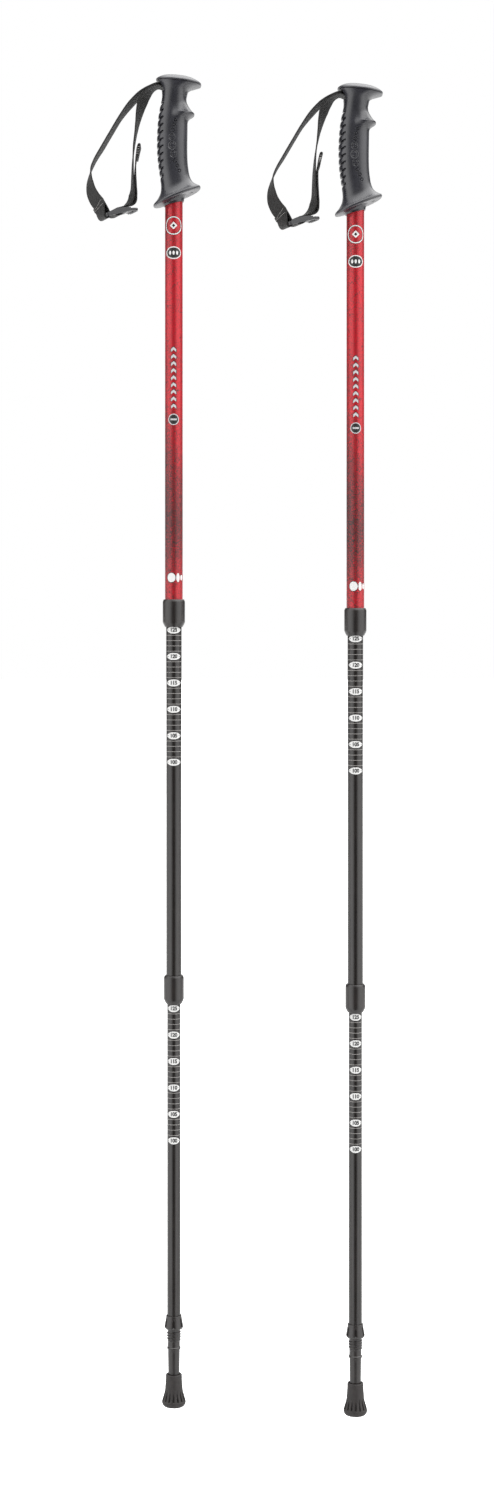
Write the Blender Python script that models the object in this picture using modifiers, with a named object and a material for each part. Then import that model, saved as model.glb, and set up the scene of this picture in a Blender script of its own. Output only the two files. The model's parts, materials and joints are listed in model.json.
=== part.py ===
"""A pair of telescopic trekking poles, each with a moulded grip, a webbing wrist strap and two twist locks.

Units are metres and +Z is up.  A pole is modelled round its own axis (x = y = 0) with z measured from the
flat sole of its rubber foot, and then carried to its place in the pair by an empty.
"""

import math

import bmesh
import bpy
from mathutils import Matrix, Vector

MM = 0.001

# The pair.
LEFT_POLE_X = -57.1 * MM
POLE_SPACING = 172.1 * MM
RIGHT_POLE_DROP = 8.2 * MM

# Clearances.
GAP = 0.3 * MM
TUBE_GAP = 0.25 * MM

# Shafts: outer radius, wall and the heights of both ends.
UPPER_R, MIDDLE_R, LOWER_R = 8.4 * MM, 7.35 * MM, 6.4 * MM
UPPER_WALL, MIDDLE_WALL, LOWER_WALL = 0.8 * MM, 0.7 * MM, 0.7 * MM
UPPER_ENDS = (741 * MM, 1236 * MM)
MIDDLE_ENDS = (384 * MM, 813 * MM)
LOWER_ENDS = (74.5 * MM, 456 * MM)

# Collars: outer radius, bottom and top.
UPPER_COLLAR = (10.55 * MM, 738.2 * MM, 764.4 * MM)
LOWER_COLLAR = (9.6 * MM, 381.2 * MM, 408.1 * MM)

# Grip: each ring is (rear x, rear z, front x, front z, half width) in millimetres, from the hub under the
# flange up to the seat of the top cap.
GRIP_RINGS = [
    (-10.2, 1135.9, 10.2, 1141.8, 10.2),
    (-11.6, 1138.5, 11.6, 1147.9, 11.6),
    (-17.6, 1136.1, 23.8, 1152.8, 18.0),
    (-19.3, 1137.4, 25.3, 1155.2, 19.2),
    (-18.5, 1139.0, 24.4, 1156.8, 18.4),
    (-15.6, 1143.0, 20.0, 1158.6, 16.2),
    (-12.7, 1148.0, 16.8, 1161.2, 14.4),
    (-11.9, 1154.0, 14.9, 1166.2, 13.6),
    (-12.4, 1161.0, 13.8, 1172.4, 13.3),
    (-14.0, 1171.0, 13.1, 1179.0, 13.3),
    (-15.4, 1182.0, 12.8, 1187.0, 13.5),
    (-16.0, 1194.0, 12.8, 1196.0, 13.6),
    (-15.7, 1204.0, 12.9, 1204.0, 13.5),
    (-15.4, 1212.0, 13.2, 1212.0, 13.4),
    (-15.0, 1217.5, 14.3, 1218.0, 13.2),
    (-14.5, 1221.5, 17.0, 1220.8, 12.9),
    (-14.2, 1224.0, 19.2, 1223.0, 12.8),
    (-13.6, 1228.0, 16.2, 1226.8, 12.6),
    (-12.6, 1232.5, 13.6, 1231.0, 12.4),
    (-11.6, 1236.5, 12.6, 1236.0, 12.4),
    (-11.1, 1241.0, 13.0, 1240.6, 14.0),
    (-11.6, 1245.4, 14.8, 1244.8, 16.4),
    (-12.8, 1249.5, 19.0, 1247.8, 18.0),
    (-14.8, 1253.0, 24.0, 1249.6, 18.5),
    (-16.4, 1255.3, 25.6, 1250.6, 18.6),
]
CAP_RINGS = [
    (-16.5, 1255.65, 25.7, 1250.93, 18.7),
    (-16.9, 1256.9, 26.0, 1252.2, 19.0),
    (-15.6, 1258.3, 24.6, 1253.9, 17.8),
    (-10.5, 1259.9, 18.5, 1257.3, 13.4),
    (-3.5, 1260.7, 10.5, 1259.8, 6.8),
]
GRIP_ROUNDNESS = 2.55
RING_POINTS = 20
CAP_STEM = (8 * MM, 4 * MM, 1244 * MM, 1256 * MM)  # x, radius, bottom, top
FLANGE_HOLE = (16.8 * MM, 1.6 * MM)  # x, radius
FLANGE_MIDDLE = 1143.2 * MM
FLANGE_TILT = math.radians(22)
HOLE_BELOW, HOLE_ABOVE = 8 * MM, 12 * MM  # how far the hole's cutter passes the flange
BELOW_GRIP, ABOVE_HEAD, BEHIND_HEAD = 1120 * MM, 1270 * MM, -30 * MM  # in the open, clear of the grip

# Strap anchor: a cross pin in a notch at the rear of the head.
PIN = Vector((-6.6 * MM, 0, 1250.6 * MM))
PIN_R = 1.5 * MM
PIN_HALF = 12.4 * MM
NOTCH_HALF = 10.9 * MM
NOTCH_FLOOR = 1245.5 * MM
NOTCH_FRONT = -1.5 * MM
PIN_WAY_SIDE, PIN_WAY_END = 0.2 * MM, 0.1 * MM  # the pin's way in: room beside it, and a step at its ends

# Wrist strap.
STRAP_WIDTH = 20 * MM
STRAP_THICKNESS = 1.3 * MM
STRAP_LAYER = STRAP_THICKNESS / 2 + GAP
STRAP_STEP = 6 * MM
WRAP_STEPS = 8  # in each half turn round a pin or a bar
HEM_LAP = 0.35  # how much of the strap's first stretch the hem covers
SEWN_BAR_ROOM = 0.25 * MM
LOOP_LEG, LOOP_SPREAD = 6.5 * MM, 1.7 * MM  # where the sewn loop closes: along the strap, and each side of it

# Buckle: a ladder lock whose bars lie across its rails.  Stations run along the rails from its middle.
BUCKLE_CENTRE = Vector((-53.2, 0.2, 1130.9)) * MM
BUCKLE_YAW = math.radians(20)
BUCKLE_PITCH = math.radians(16)
BUCKLE_END = -15.5 * MM
SEWN_BAR = (-15.5 * MM, -12.5 * MM)
GRIP_BAR = (-4 * MM, 0 * MM)
END_BAR = (5 * MM, 9 * MM)
TAB_END = 19 * MM
BAR_HALF_HEIGHT, RAIL_HALF_HEIGHT = 1.1 * MM, 1.7 * MM
RAIL_IN, RAIL_OUT = 10.8 * MM, 13.2 * MM
RECESS_LIP, RECESS_LAP = 0.1 * MM, 1 * MM  # how far the recesses reach into the rails and the end bar
TAB_LAP, TAB_INSET = 1.2 * MM, 1 * MM  # the pull tab: its lap over the end bar, its set-in from the rails
TAB_LOW, TAB_HIGH = -1.1 * MM, 0.9 * MM
BUCKLE_ROUNDING = 0.3 * MM
BUCKLE_CLEAR = 9 * MM  # a height clear of the buckle

# The webbing outside the buckle, in millimetres: place, then the direction of its width.
OUTER_RUN = [
    ((-70.3, -4.3, 1137.0), (-0.56, 0.80, -0.22)),
    ((-75.3, -1.6, 1144.6), (-0.52, 0.83, -0.18)),
    ((-78.4, -0.2, 1151.3), (-0.46, 0.87, -0.10)),
    ((-79.6, 0.5, 1158.6), (-0.36, 0.93, -0.02)),
    ((-79.5, 0.3, 1165.6), (-0.18, 0.98, 0.02)),
    ((-78.3, 0.0, 1172.5), (-0.03, 1.0, 0.0)),
    ((-75.6, 0.0, 1179.0), (0.0, 1.0, 0.0)),
    ((-67.4, 0.0, 1193.0), (0.05, 1.0, 0.0)),
    ((-58.6, 0.0, 1208.0), (0.05, 1.0, 0.0)),
    ((-50.2, 0.0, 1221.8), (0.04, 1.0, -0.03)),
    ((-41.2, 0.0, 1233.6), (0.10, 0.98, -0.08)),
    ((-31.5, 0.0, 1243.4), (0.10, 0.99, -0.08)),
    ((-22.5, 0.0, 1249.8), (0.0, 1.0, 0.0)),
    ((-15.5, 0.0, 1252.5), (0.0, 1.0, 0.0)),
]
INNER_RUN = [
    ((-15.5, 0.0, 1250.6), (0.0, 1.0, 0.0)),
    ((-20.4, 0.0, 1248.5), (0.10, 1.0, -0.06)),
    ((-25.4, 0.0, 1243.6), (0.28, 0.95, -0.12)),
    ((-29.6, 0.0, 1236.4), (0.38, 0.92, -0.10)),
    ((-32.4, 0.0, 1227.0), (0.26, 0.96, -0.04)),
    ((-34.5, 0.0, 1216.5), (0.11, 0.99, 0.0)),
    ((-36.2, 0.0, 1206.0), (0.02, 1.0, 0.0)),
    ((-38.0, 0.0, 1193.0), (-0.02, 1.0, 0.0)),
    ((-38.9, 0.0, 1180.0), (-0.08, 1.0, 0.0)),
    ((-39.2, 0.0, 1166.0), (-0.12, 0.99, 0.0)),
    ((-39.2, 0.3, 1153.5), (-0.20, 0.98, 0.02)),
    ((-40.4, 0.8, 1145.8), (-0.34, 0.93, 0.06)),
]
TAIL_RUN = [
    ((-38.6, 2.0, 1141.4), (-0.36, 0.93, 0.02)),
    ((-37.0, 1.2, 1147.4), (-0.24, 0.97, 0.02)),
    ((-36.6, 0.5, 1155.5), (-0.14, 0.99, 0.0)),
    ((-36.7, 0.0, 1166.0), (-0.10, 0.99, 0.0)),
    ((-36.4, 0.0, 1176.0), (-0.06, 1.0, 0.0)),
    ((-35.3, 0.0, 1185.0), (-0.02, 1.0, 0.0)),
    ((-33.3, 0.0, 1194.2), (0.0, 1.0, 0.0)),
]

# Twist lock, in heights above the end of the inner shaft.
PLUG_DEPTH, PLUG_FLANGE = 14 * MM, 3 * MM
STUD_R, STUD_BELOW, STUD_TOP = 2.5 * MM, 9.7 * MM, 33 * MM
SLEEVE_BOTTOM, SLEEVE_TAPER, SLEEVE_TOP = 3.9 * MM, 11 * MM, 24 * MM
CONE_BOTTOM, CONE_TOP = 13.5 * MM, 27 * MM
SLEEVE_LIP = 1 * MM
FUNNEL_ROOM = 1 * MM  # the funnel's bottom radius over the stud's bore
CONE_GAP = 0.45 * MM
SLOT_WIDTH, SLOT_REACH = 1.2 * MM, 12 * MM
SLOT_BELOW, SLOT_ABOVE = 2 * MM, 5 * MM  # how far a slot passes the funnel's two ends
SLOT_TURN = math.radians(7.5)

# Tip.
FERRULE_TAPER = [(5.2, 14), (5.42, 34), (5.65, 54), (6.5, 54.4), (6.5, 55.4), (5.8, 55.9), (5.8, 61.4)]
FERRULE_SKIRT = [(6.1, 72.6), (8.0, 73.3), (9.0, 75.4), (7.25, 86)]
THREAD_START, THREAD_PITCH, THREAD_TURNS = 62.4, 2.6, 4
THREAD_ROOT, THREAD_CREST, THREAD_FLAT = 5.85, 6.5, 0.8
SPIGOT_TOP = 100 * MM
TIP_BORE_R, TIP_BORE_TOP = 2.8 * MM, 24 * MM
FOOT_PROFILE = [
    (9.3, 0), (10.7, 1.6), (11.3, 4.0), (10.45, 8.5), (9.4, 11.5), (8.6, 14.4), (8.15, 19), (7.7, 26),
    (7.6, 29.4), (7.3, 30.1),
]
FOOT_BORE_R, FOOT_FLOOR = 5.75 * MM, 13.5 * MM
FOOT_POCKET_R, FOOT_POCKET_FLOOR = 3.2 * MM, 4.5 * MM

FINE, MEDIUM, PLAIN = 24, 16, 12  # facets round a shaft, a tip piece and a hidden piece


def start_scene():
    """Empties the scene and returns the collections for the poles and for their cutters."""
    for old in list(bpy.data.objects):
        bpy.data.objects.remove(old)
    made = []
    for name in ("trekking_poles", "cutters"):
        collection = bpy.data.collections.new(name)
        bpy.context.scene.collection.children.link(collection)
        made.append(collection)
    return made


POLES, CUTTERS = start_scene()


def finish(name, colour, roughness, metallic=0.0):
    """A Principled material of that name."""
    material = bpy.data.materials.new(name)
    material.use_nodes = True
    shader = material.node_tree.nodes["Principled BSDF"]
    shader.inputs["Base Color"].default_value = (*colour, 1.0)
    shader.inputs["Roughness"].default_value = roughness
    shader.inputs["Metallic"].default_value = metallic
    return material


FINISHES = {
    "red_anodised": finish("red_anodised", (0.55, 0.02, 0.035), 0.32, 0.6),
    "black_anodised": finish("black_anodised", (0.035, 0.032, 0.03), 0.35, 0.6),
    "grip_plastic": finish("grip_plastic", (0.045, 0.045, 0.05), 0.5),
    "collar_plastic": finish("collar_plastic", (0.04, 0.038, 0.036), 0.45),
    "webbing": finish("webbing", (0.03, 0.028, 0.027), 0.85),
    "buckle_plastic": finish("buckle_plastic", (0.05, 0.05, 0.052), 0.45),
    "steel": finish("steel", (0.6, 0.6, 0.6), 0.3, 1.0),
    "lock_nylon": finish("lock_nylon", (0.7, 0.68, 0.62), 0.5),
    "rubber": finish("rubber", (0.03, 0.027, 0.025), 0.8),
}


def place(name, mesh, slot, parent):
    """A new object of this mesh, finished and parented.  Its coordinates are the parent's."""
    obj = bpy.data.objects.new(name, mesh)
    POLES.objects.link(obj)
    mesh.materials.append(FINISHES[slot])
    obj.parent = parent
    mesh.shade_smooth()
    mesh.set_sharp_from_angle(angle=math.radians(35))
    return obj


def mesh_from(name, fill):
    """A mesh whose bmesh is filled by the function given."""
    mesh = bpy.data.meshes.new(name)
    shape = bmesh.new()
    fill(shape)
    shape.to_mesh(mesh)
    shape.free()
    return mesh


def turned(name, profile, steps, slot, parent, closed):
    """A turned piece.  The profile is (radius, height) down its outer side, and closed joins its two ends."""

    def fill(shape):
        points = [shape.verts.new((r, 0, z)) for r, z in profile]
        for a, b in zip(points, points[1:]):
            shape.edges.new((a, b))
        if closed:
            shape.edges.new((points[-1], points[0]))

    obj = place(name, mesh_from(name, fill), slot, parent)
    screw = obj.modifiers.new("turn", "SCREW")
    screw.axis = "Z"
    screw.steps = steps
    screw.render_steps = steps
    screw.use_merge_vertices = True
    screw.merge_threshold = 0.00001
    screw.use_smooth_shade = True
    return obj


def tube(name, outer_r, wall, ends, slot, parent):
    """A shaft: a plain tube between two heights."""
    low, high = ends
    profile = [(outer_r, high), (outer_r, low), (outer_r - wall, low), (outer_r - wall, high)]
    return turned(name, profile, FINE, slot, parent, closed=True)


def cutter(name, mesh, place_at, parent):
    """A hidden helper that a Boolean takes away."""
    obj = bpy.data.objects.new(name, mesh)
    CUTTERS.objects.link(obj)
    obj.parent = parent
    obj.matrix_local = place_at
    obj.hide_render = True
    obj.display_type = "WIRE"
    return obj


def round_cutter(name, radius, low, high, parent, at=(0, 0), turn=None, steps=PLAIN):
    """A cylinder cutter between two heights on a vertical axis, then turned about its own middle."""

    def fill(shape):
        bmesh.ops.create_cone(
            shape, cap_ends=True, segments=steps, radius1=radius, radius2=radius, depth=high - low
        )

    middle = Vector((at[0], at[1], (low + high) / 2))
    rotation = turn or Matrix.Identity(4)
    return cutter(name, mesh_from(name, fill), Matrix.Translation(middle) @ rotation, parent)


def box_cutter(name, low, high, parent, turn=None):
    """A box cutter between two corners, then carried by a matrix in the parent's space."""
    size = [b - a for a, b in zip(low, high)]
    middle = Vector([(a + b) / 2 for a, b in zip(low, high)])

    def fill(shape):
        bmesh.ops.create_cube(shape, size=1.0)
        bmesh.ops.scale(shape, vec=size, verts=shape.verts)

    rotation = turn or Matrix.Identity(4)
    return cutter(name, mesh_from(name, fill), rotation @ Matrix.Translation(middle), parent)


def cut(obj, *tools):
    """Takes each tool away from the object."""
    for tool in tools:
        modifier = obj.modifiers.new("cut", "BOOLEAN")
        modifier.operation = "DIFFERENCE"
        modifier.object = tool


def ring_points(ring):
    """The points of one grip ring: a rounded oval in a plane that holds its rear and front points."""
    rear = Vector((ring[0], 0, ring[1])) * MM
    front = Vector((ring[2], 0, ring[3])) * MM
    middle, reach, half = (rear + front) / 2, (front - rear) / 2, ring[4] * MM
    points = []
    for i in range(RING_POINTS):
        angle = 2 * math.pi * i / RING_POINTS
        c, s = math.cos(angle), math.sin(angle)
        along = math.copysign(abs(c) ** (2 / GRIP_ROUNDNESS), c)
        across = math.copysign(abs(s) ** (2 / GRIP_ROUNDNESS), s)
        points.append(middle + reach * along + Vector((0, half * across, 0)))
    return points


def lofted(name, rings, slot, parent):
    """A solid skinned over the rings, flat at both ends."""

    def fill(shape):
        rows = [[shape.verts.new(p) for p in ring_points(ring)] for ring in rings]
        for below, above in zip(rows, rows[1:]):
            for i in range(RING_POINTS):
                j = (i + 1) % RING_POINTS
                shape.faces.new((below[i], below[j], above[j], above[i]))
        shape.faces.new(rows[0][::-1])
        shape.faces.new(rows[-1])
        bmesh.ops.triangulate(shape, faces=shape.faces)

    return place(name, mesh_from(name, fill), slot, parent)


def make_grip(side, pole):
    """The moulded handle, with its bore, strap notch, pin seats open upwards, cap socket and flange hole."""
    grip = lofted(f"{side}_grip", GRIP_RINGS, "grip_plastic", pole)
    across = Matrix.Rotation(math.pi / 2, 4, "X")
    seat = PIN_HALF + GAP
    x, stem_r, stem_low, _ = CAP_STEM
    hole_x, hole_r = FLANGE_HOLE
    hole_z = FLANGE_MIDDLE + math.tan(FLANGE_TILT) * hole_x
    cut(
        grip,
        round_cutter(f"{side}_bore", UPPER_R + GAP, BELOW_GRIP, UPPER_ENDS[1] + GAP, pole, steps=FINE),
        box_cutter(
            f"{side}_notch",
            (BEHIND_HEAD, -NOTCH_HALF, NOTCH_FLOOR),
            (NOTCH_FRONT, NOTCH_HALF, ABOVE_HEAD),
            pole,
        ),
        round_cutter(
            f"{side}_pin_seat", PIN_R + GAP, PIN.z - seat, PIN.z + seat, pole, at=(PIN.x, 0), turn=across
        ),
        box_cutter(
            f"{side}_pin_way",
            (PIN.x - PIN_R - PIN_WAY_SIDE, -seat + PIN_WAY_END, PIN.z),
            (PIN.x + PIN_R + PIN_WAY_SIDE, seat - PIN_WAY_END, ABOVE_HEAD),
            pole,
        ),
        round_cutter(f"{side}_cap_socket", stem_r + GAP, stem_low - GAP, ABOVE_HEAD, pole, at=(x, 0)),
        round_cutter(
            f"{side}_flange_hole",
            hole_r,
            hole_z - HOLE_BELOW,
            hole_z + HOLE_ABOVE,
            pole,
            at=(hole_x, 0),
            turn=Matrix.Rotation(-FLANGE_TILT, 4, "Y"),
        ),
    )


def make_top_cap(side, pole):
    """The domed cap that closes the head, with the stem that holds it in its socket."""
    cap = lofted(f"{side}_top_cap", CAP_RINGS, "grip_plastic", pole)
    x, stem_r, stem_low, stem_high = CAP_STEM
    stem = round_cutter(f"{side}_cap_stem", stem_r, stem_low, stem_high, pole, at=(x, 0))
    join = cap.modifiers.new("stem", "BOOLEAN")
    join.operation = "UNION"
    join.object = stem


def make_strap_pin(side, pivot):
    """The steel cross pin that the webbing is looped round."""

    def fill(shape):
        bmesh.ops.create_cone(
            shape, cap_ends=True, segments=PLAIN, radius1=PIN_R, radius2=PIN_R, depth=2 * PIN_HALF
        )

    pin = place(f"{side}_strap_pin", mesh_from("strap_pin", fill), "steel", pivot)
    pin.rotation_euler = (math.pi / 2, 0, 0)


def buckle_axes():
    """The buckle's directions: along its rails, across them, and towards the hand."""
    flat = Vector((math.cos(BUCKLE_YAW), math.sin(BUCKLE_YAW), 0))
    along = (flat * math.cos(BUCKLE_PITCH) + Vector((0, 0, math.sin(BUCKLE_PITCH)))).normalized()
    across = Vector((0, 0, 1)).cross(along).normalized()
    return along, across, along.cross(across)


def sewn_loop():
    """The sewn end: up from the hem, round the sewn bar and back along the strap."""
    along, across, inward = buckle_axes()
    bar = BUCKLE_CENTRE + along * (SEWN_BAR[0] + SEWN_BAR[1]) / 2
    hem_w, hem_mid = Vector(OUTER_RUN[0][1]).normalized(), Vector(OUTER_RUN[0][0]) * MM
    to_hem = hem_mid - bar
    towards = (to_hem - across * to_hem.dot(across)).normalized()
    side = across.cross(towards)
    if side.dot(inward + along) < 0:
        side = -side
    wrap_r = (SEWN_BAR[1] - SEWN_BAR[0]) / 2 + STRAP_LAYER + SEWN_BAR_ROOM
    hem_side = hem_w.cross(to_hem.normalized()).normalized()
    if hem_side.dot(side) < 0:
        hem_side = -hem_side
    half_pair = STRAP_THICKNESS / 2 + GAP / 2
    beyond = hem_mid + (Vector(OUTER_RUN[1][0]) * MM - hem_mid) * HEM_LAP
    route = [
        (beyond - hem_side * half_pair, hem_w),
        (hem_mid - hem_side * half_pair, hem_w),
        (bar + towards * LOOP_LEG - side * LOOP_SPREAD, (hem_w + across).normalized()),
    ]
    for i in range(WRAP_STEPS + 1):
        angle = math.pi * i / WRAP_STEPS
        out = side * -math.cos(angle) - towards * math.sin(angle)
        route.append((bar + out * wrap_r, across))
    route.append((bar + towards * LOOP_LEG + side * LOOP_SPREAD, (hem_w + across).normalized()))
    route.append((hem_mid + hem_side * half_pair, hem_w))
    return route


def pin_loop():
    """Over the strap pin and back under it."""
    wrap_r = PIN_R + STRAP_LAYER
    y = Vector((0, 1, 0))
    return [
        (PIN + Vector((math.sin(a), 0, math.cos(a))) * wrap_r, y)
        for a in [math.pi * i / WRAP_STEPS for i in range(WRAP_STEPS + 1)]
    ]


def ladder_weave():
    """Into the buckle on the hand's side, out past the grip bar, over it, and back in under the end bar."""
    along, across, inward = buckle_axes()
    over = BAR_HALF_HEIGHT + STRAP_LAYER
    tail = over + 0.1 * MM
    load = tail + STRAP_THICKNESS + GAP
    corners = [
        (11 * MM, load + 1.8 * MM), (6 * MM, load + 0.3 * MM), (0, load), (-3 * MM, load - 0.1 * MM),
        (-5.2 * MM, load - 1.0 * MM), (-6.3 * MM, load - 2.8 * MM), (-6.3 * MM, -0.2 * MM),
        (-5.6 * MM, -over + 0.4 * MM), (-4 * MM, -over - 0.3 * MM), (-2 * MM, -over - 0.5 * MM),
        (0, -over - 0.3 * MM), (1.5 * MM, -over + 0.5 * MM), (2.3 * MM, -0.2 * MM),
        (2.9 * MM, tail - 0.8 * MM), (4.6 * MM, tail), (7 * MM, tail + 0.3 * MM), (10 * MM, tail + 1.4 * MM),
    ]
    return [(BUCKLE_CENTRE + along * u + inward * h, across) for u, h in corners]


def strap_route():
    """The whole webbing from its hem to its loose end, as (place, direction of its width)."""
    scaled = [
        [(Vector(p) * MM, Vector(w).normalized()) for p, w in run] for run in (OUTER_RUN, INNER_RUN, TAIL_RUN)
    ]
    return sewn_loop() + scaled[0][1:] + pin_loop() + scaled[1] + ladder_weave() + scaled[2]


def smooth(route, step):
    """The route resampled along a Catmull-Rom curve, about one sample a step."""
    places, widths = [p for p, w in route], [w for p, w in route]
    ends = [places[0] * 2 - places[1]] + places + [places[-1] * 2 - places[-2]]
    samples = []
    for i in range(len(places) - 1):
        a, b, c, d = ends[i : i + 4]
        count = max(1, round((c - b).length / step))
        for k in range(count):
            t = k / count
            point = (
                b * 2 + (c - a) * t + (a * 2 - b * 5 + c * 4 - d) * t**2 + (b * 3 - a - c * 3 + d) * t**3
            ) / 2
            samples.append((point, widths[i].lerp(widths[i + 1], t).normalized()))
    samples.append((places[-1], widths[-1]))
    return samples


def make_strap(side, pivot):
    """The webbing: a flat band swept along its route."""
    samples = smooth(strap_route(), STRAP_STEP)

    def fill(shape):
        rows = []
        for i, (point, width) in enumerate(samples):
            before, after = samples[max(0, i - 1)][0], samples[min(len(samples) - 1, i + 1)][0]
            heading = (after - before).normalized()
            width = (width - heading * width.dot(heading)).normalized() * STRAP_WIDTH / 2
            face = heading.cross(width).normalized() * STRAP_THICKNESS / 2
            corners = (point + width + face, point - width + face, point - width - face, point + width - face)
            rows.append([shape.verts.new(c - PIN) for c in corners])
        for row, following in zip(rows, rows[1:]):
            for i in range(4):
                j = (i + 1) % 4
                shape.faces.new((row[i], row[j], following[j], following[i]))
        shape.faces.new(rows[0][::-1])
        shape.faces.new(rows[-1])
        bmesh.ops.recalc_face_normals(shape, faces=shape.faces)

    place(f"{side}_wrist_strap", mesh_from("wrist_strap", fill), "webbing", pivot)


def make_buckle(side, pivot):
    """The ladder lock: a plate with two windows between its three bars, and a pull tab."""
    along, across, inward = buckle_axes()
    turn = Matrix((along, across, inward)).transposed().to_4x4()
    seat = Matrix.Translation(BUCKLE_CENTRE - PIN) @ turn

    def fill(shape):
        bmesh.ops.create_cube(shape, size=1.0)
        size = (END_BAR[1] - BUCKLE_END, 2 * RAIL_OUT, 2 * RAIL_HALF_HEIGHT)
        bmesh.ops.scale(shape, vec=size, verts=shape.verts)
        bmesh.ops.translate(shape, vec=((END_BAR[1] + BUCKLE_END) / 2, 0, 0), verts=shape.verts)

    frame = place(f"{side}_strap_buckle", mesh_from("strap_buckle", fill), "buckle_plastic", pivot)
    frame.matrix_local = seat

    def box(part, start, end, half, low, high):
        return box_cutter(f"{side}_buckle_{part}", (start, -half, low), (end, half, high), pivot, turn=seat)

    clear, recess = BUCKLE_CLEAR, RAIL_IN - RECESS_LIP
    cut(
        frame,
        box("sewn_window", SEWN_BAR[1], GRIP_BAR[0], RAIL_IN, -clear, clear),
        box("pull_window", GRIP_BAR[1], END_BAR[0], RAIL_IN, -clear, clear),
        box("upper_recess", BUCKLE_END - clear, END_BAR[1] + clear, recess, BAR_HALF_HEIGHT, clear),
        box("lower_recess", BUCKLE_END - clear, END_BAR[0] + RECESS_LAP, recess, -clear, -BAR_HALF_HEIGHT),
    )
    union = frame.modifiers.new("tab", "BOOLEAN")
    union.operation = "UNION"
    union.object = box("tab", END_BAR[1] - TAB_LAP, TAB_END, RAIL_OUT - TAB_INSET, TAB_LOW, TAB_HIGH)
    rounding = frame.modifiers.new("rounding", "BEVEL")
    rounding.width = BUCKLE_ROUNDING
    rounding.segments = 1
    rounding.limit_method = "ANGLE"


def make_collar(name, shape, outer_tube_r, outer_end, inner_tube_r, pole):
    """The plastic sleeve over the end of an outer shaft, with a lip that guides the inner one."""
    radius, low, high = shape
    bore, lip = outer_tube_r + GAP, inner_tube_r + TUBE_GAP
    ledge = outer_end - GAP
    profile = [
        (bore, high),
        (radius - 1.0 * MM, high),
        (radius - 0.25 * MM, high - 0.9 * MM),
        (radius, high - 2.4 * MM),
        (radius, low + 4.2 * MM),
        (radius - 0.4 * MM, low + 3.0 * MM),
        (lip + 0.5 * MM, low),
        (lip, low),
        (lip, ledge),
        (bore, ledge),
    ]
    turned(name, profile, FINE, "collar_plastic", pole, closed=True)


def make_lock(side, section, shaft_r, shaft_wall, shaft_end, outer_r_in, pole):
    """The twist lock on an inner shaft: its plug, its threaded stud, the cone on it and the split sleeve."""
    plug_r, bore = shaft_r - shaft_wall - GAP, STUD_R + GAP
    z = shaft_end
    plug = [
        (0, z - STUD_BELOW - GAP),
        (bore, z - STUD_BELOW - GAP),
        (bore, z + GAP + PLUG_FLANGE),
        (shaft_r, z + GAP + PLUG_FLANGE),
        (shaft_r, z + GAP),
        (plug_r, z + GAP),
        (plug_r, z - PLUG_DEPTH + 1 * MM),
        (plug_r - 1 * MM, z - PLUG_DEPTH),
        (0, z - PLUG_DEPTH),
    ]
    turned(f"{side}_{section}_plug", plug, PLAIN, "collar_plastic", pole, closed=False)
    head = STUD_TOP - 2 * MM
    stud = [
        (0, z + STUD_TOP),
        (STUD_R + 1.1 * MM, z + STUD_TOP),
        (STUD_R + 1.6 * MM, z + STUD_TOP - 0.5 * MM),
        (STUD_R + 1.6 * MM, z + head),
        (STUD_R, z + head),
        (STUD_R, z - STUD_BELOW + 0.6 * MM),
        (STUD_R - 0.6 * MM, z - STUD_BELOW),
        (0, z - STUD_BELOW),
    ]
    turned(f"{side}_{section}_stud", stud, PLAIN, "steel", pole, closed=False)

    sleeve_r = outer_r_in - GAP
    slope = (sleeve_r - SLEEVE_LIP - bore - FUNNEL_ROOM) / (SLEEVE_TOP - SLEEVE_TAPER)

    def funnel(height):
        return bore + FUNNEL_ROOM + slope * (height - SLEEVE_TAPER)

    cone_r = funnel(SLEEVE_TOP) - CONE_GAP
    cone = [
        (bore, z + CONE_TOP),
        (cone_r - 0.5 * MM, z + CONE_TOP),
        (cone_r, z + CONE_TOP - 0.5 * MM),
        (cone_r, z + SLEEVE_TOP),
        (funnel(CONE_BOTTOM) - CONE_GAP, z + CONE_BOTTOM),
        (bore, z + CONE_BOTTOM),
    ]
    turned(f"{side}_{section}_cone", cone, PLAIN, "lock_nylon", pole, closed=True)
    sleeve = [
        (funnel(SLEEVE_TOP), z + SLEEVE_TOP),
        (sleeve_r - 0.4 * MM, z + SLEEVE_TOP),
        (sleeve_r, z + SLEEVE_TOP - 0.8 * MM),
        (sleeve_r, z + SLEEVE_BOTTOM + 0.8 * MM),
        (sleeve_r - 0.6 * MM, z + SLEEVE_BOTTOM),
        (bore, z + SLEEVE_BOTTOM),
        (bore, z + SLEEVE_TAPER - 1 * MM),
        (funnel(SLEEVE_TAPER), z + SLEEVE_TAPER),
    ]
    expander = turned(f"{side}_{section}_expander", sleeve, PLAIN, "lock_nylon", pole, closed=True)
    for quarter in range(2):
        slot = box_cutter(
            f"{side}_{section}_slot_{quarter}",
            (-SLOT_WIDTH / 2, -SLOT_REACH, z + SLEEVE_TAPER - SLOT_BELOW),
            (SLOT_WIDTH / 2, SLOT_REACH, z + SLEEVE_TOP + SLOT_ABOVE),
            pole,
            turn=Matrix.Rotation(math.pi / 2 * quarter + SLOT_TURN, 4, "Z"),
        )
        cut(expander, slot)


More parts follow.
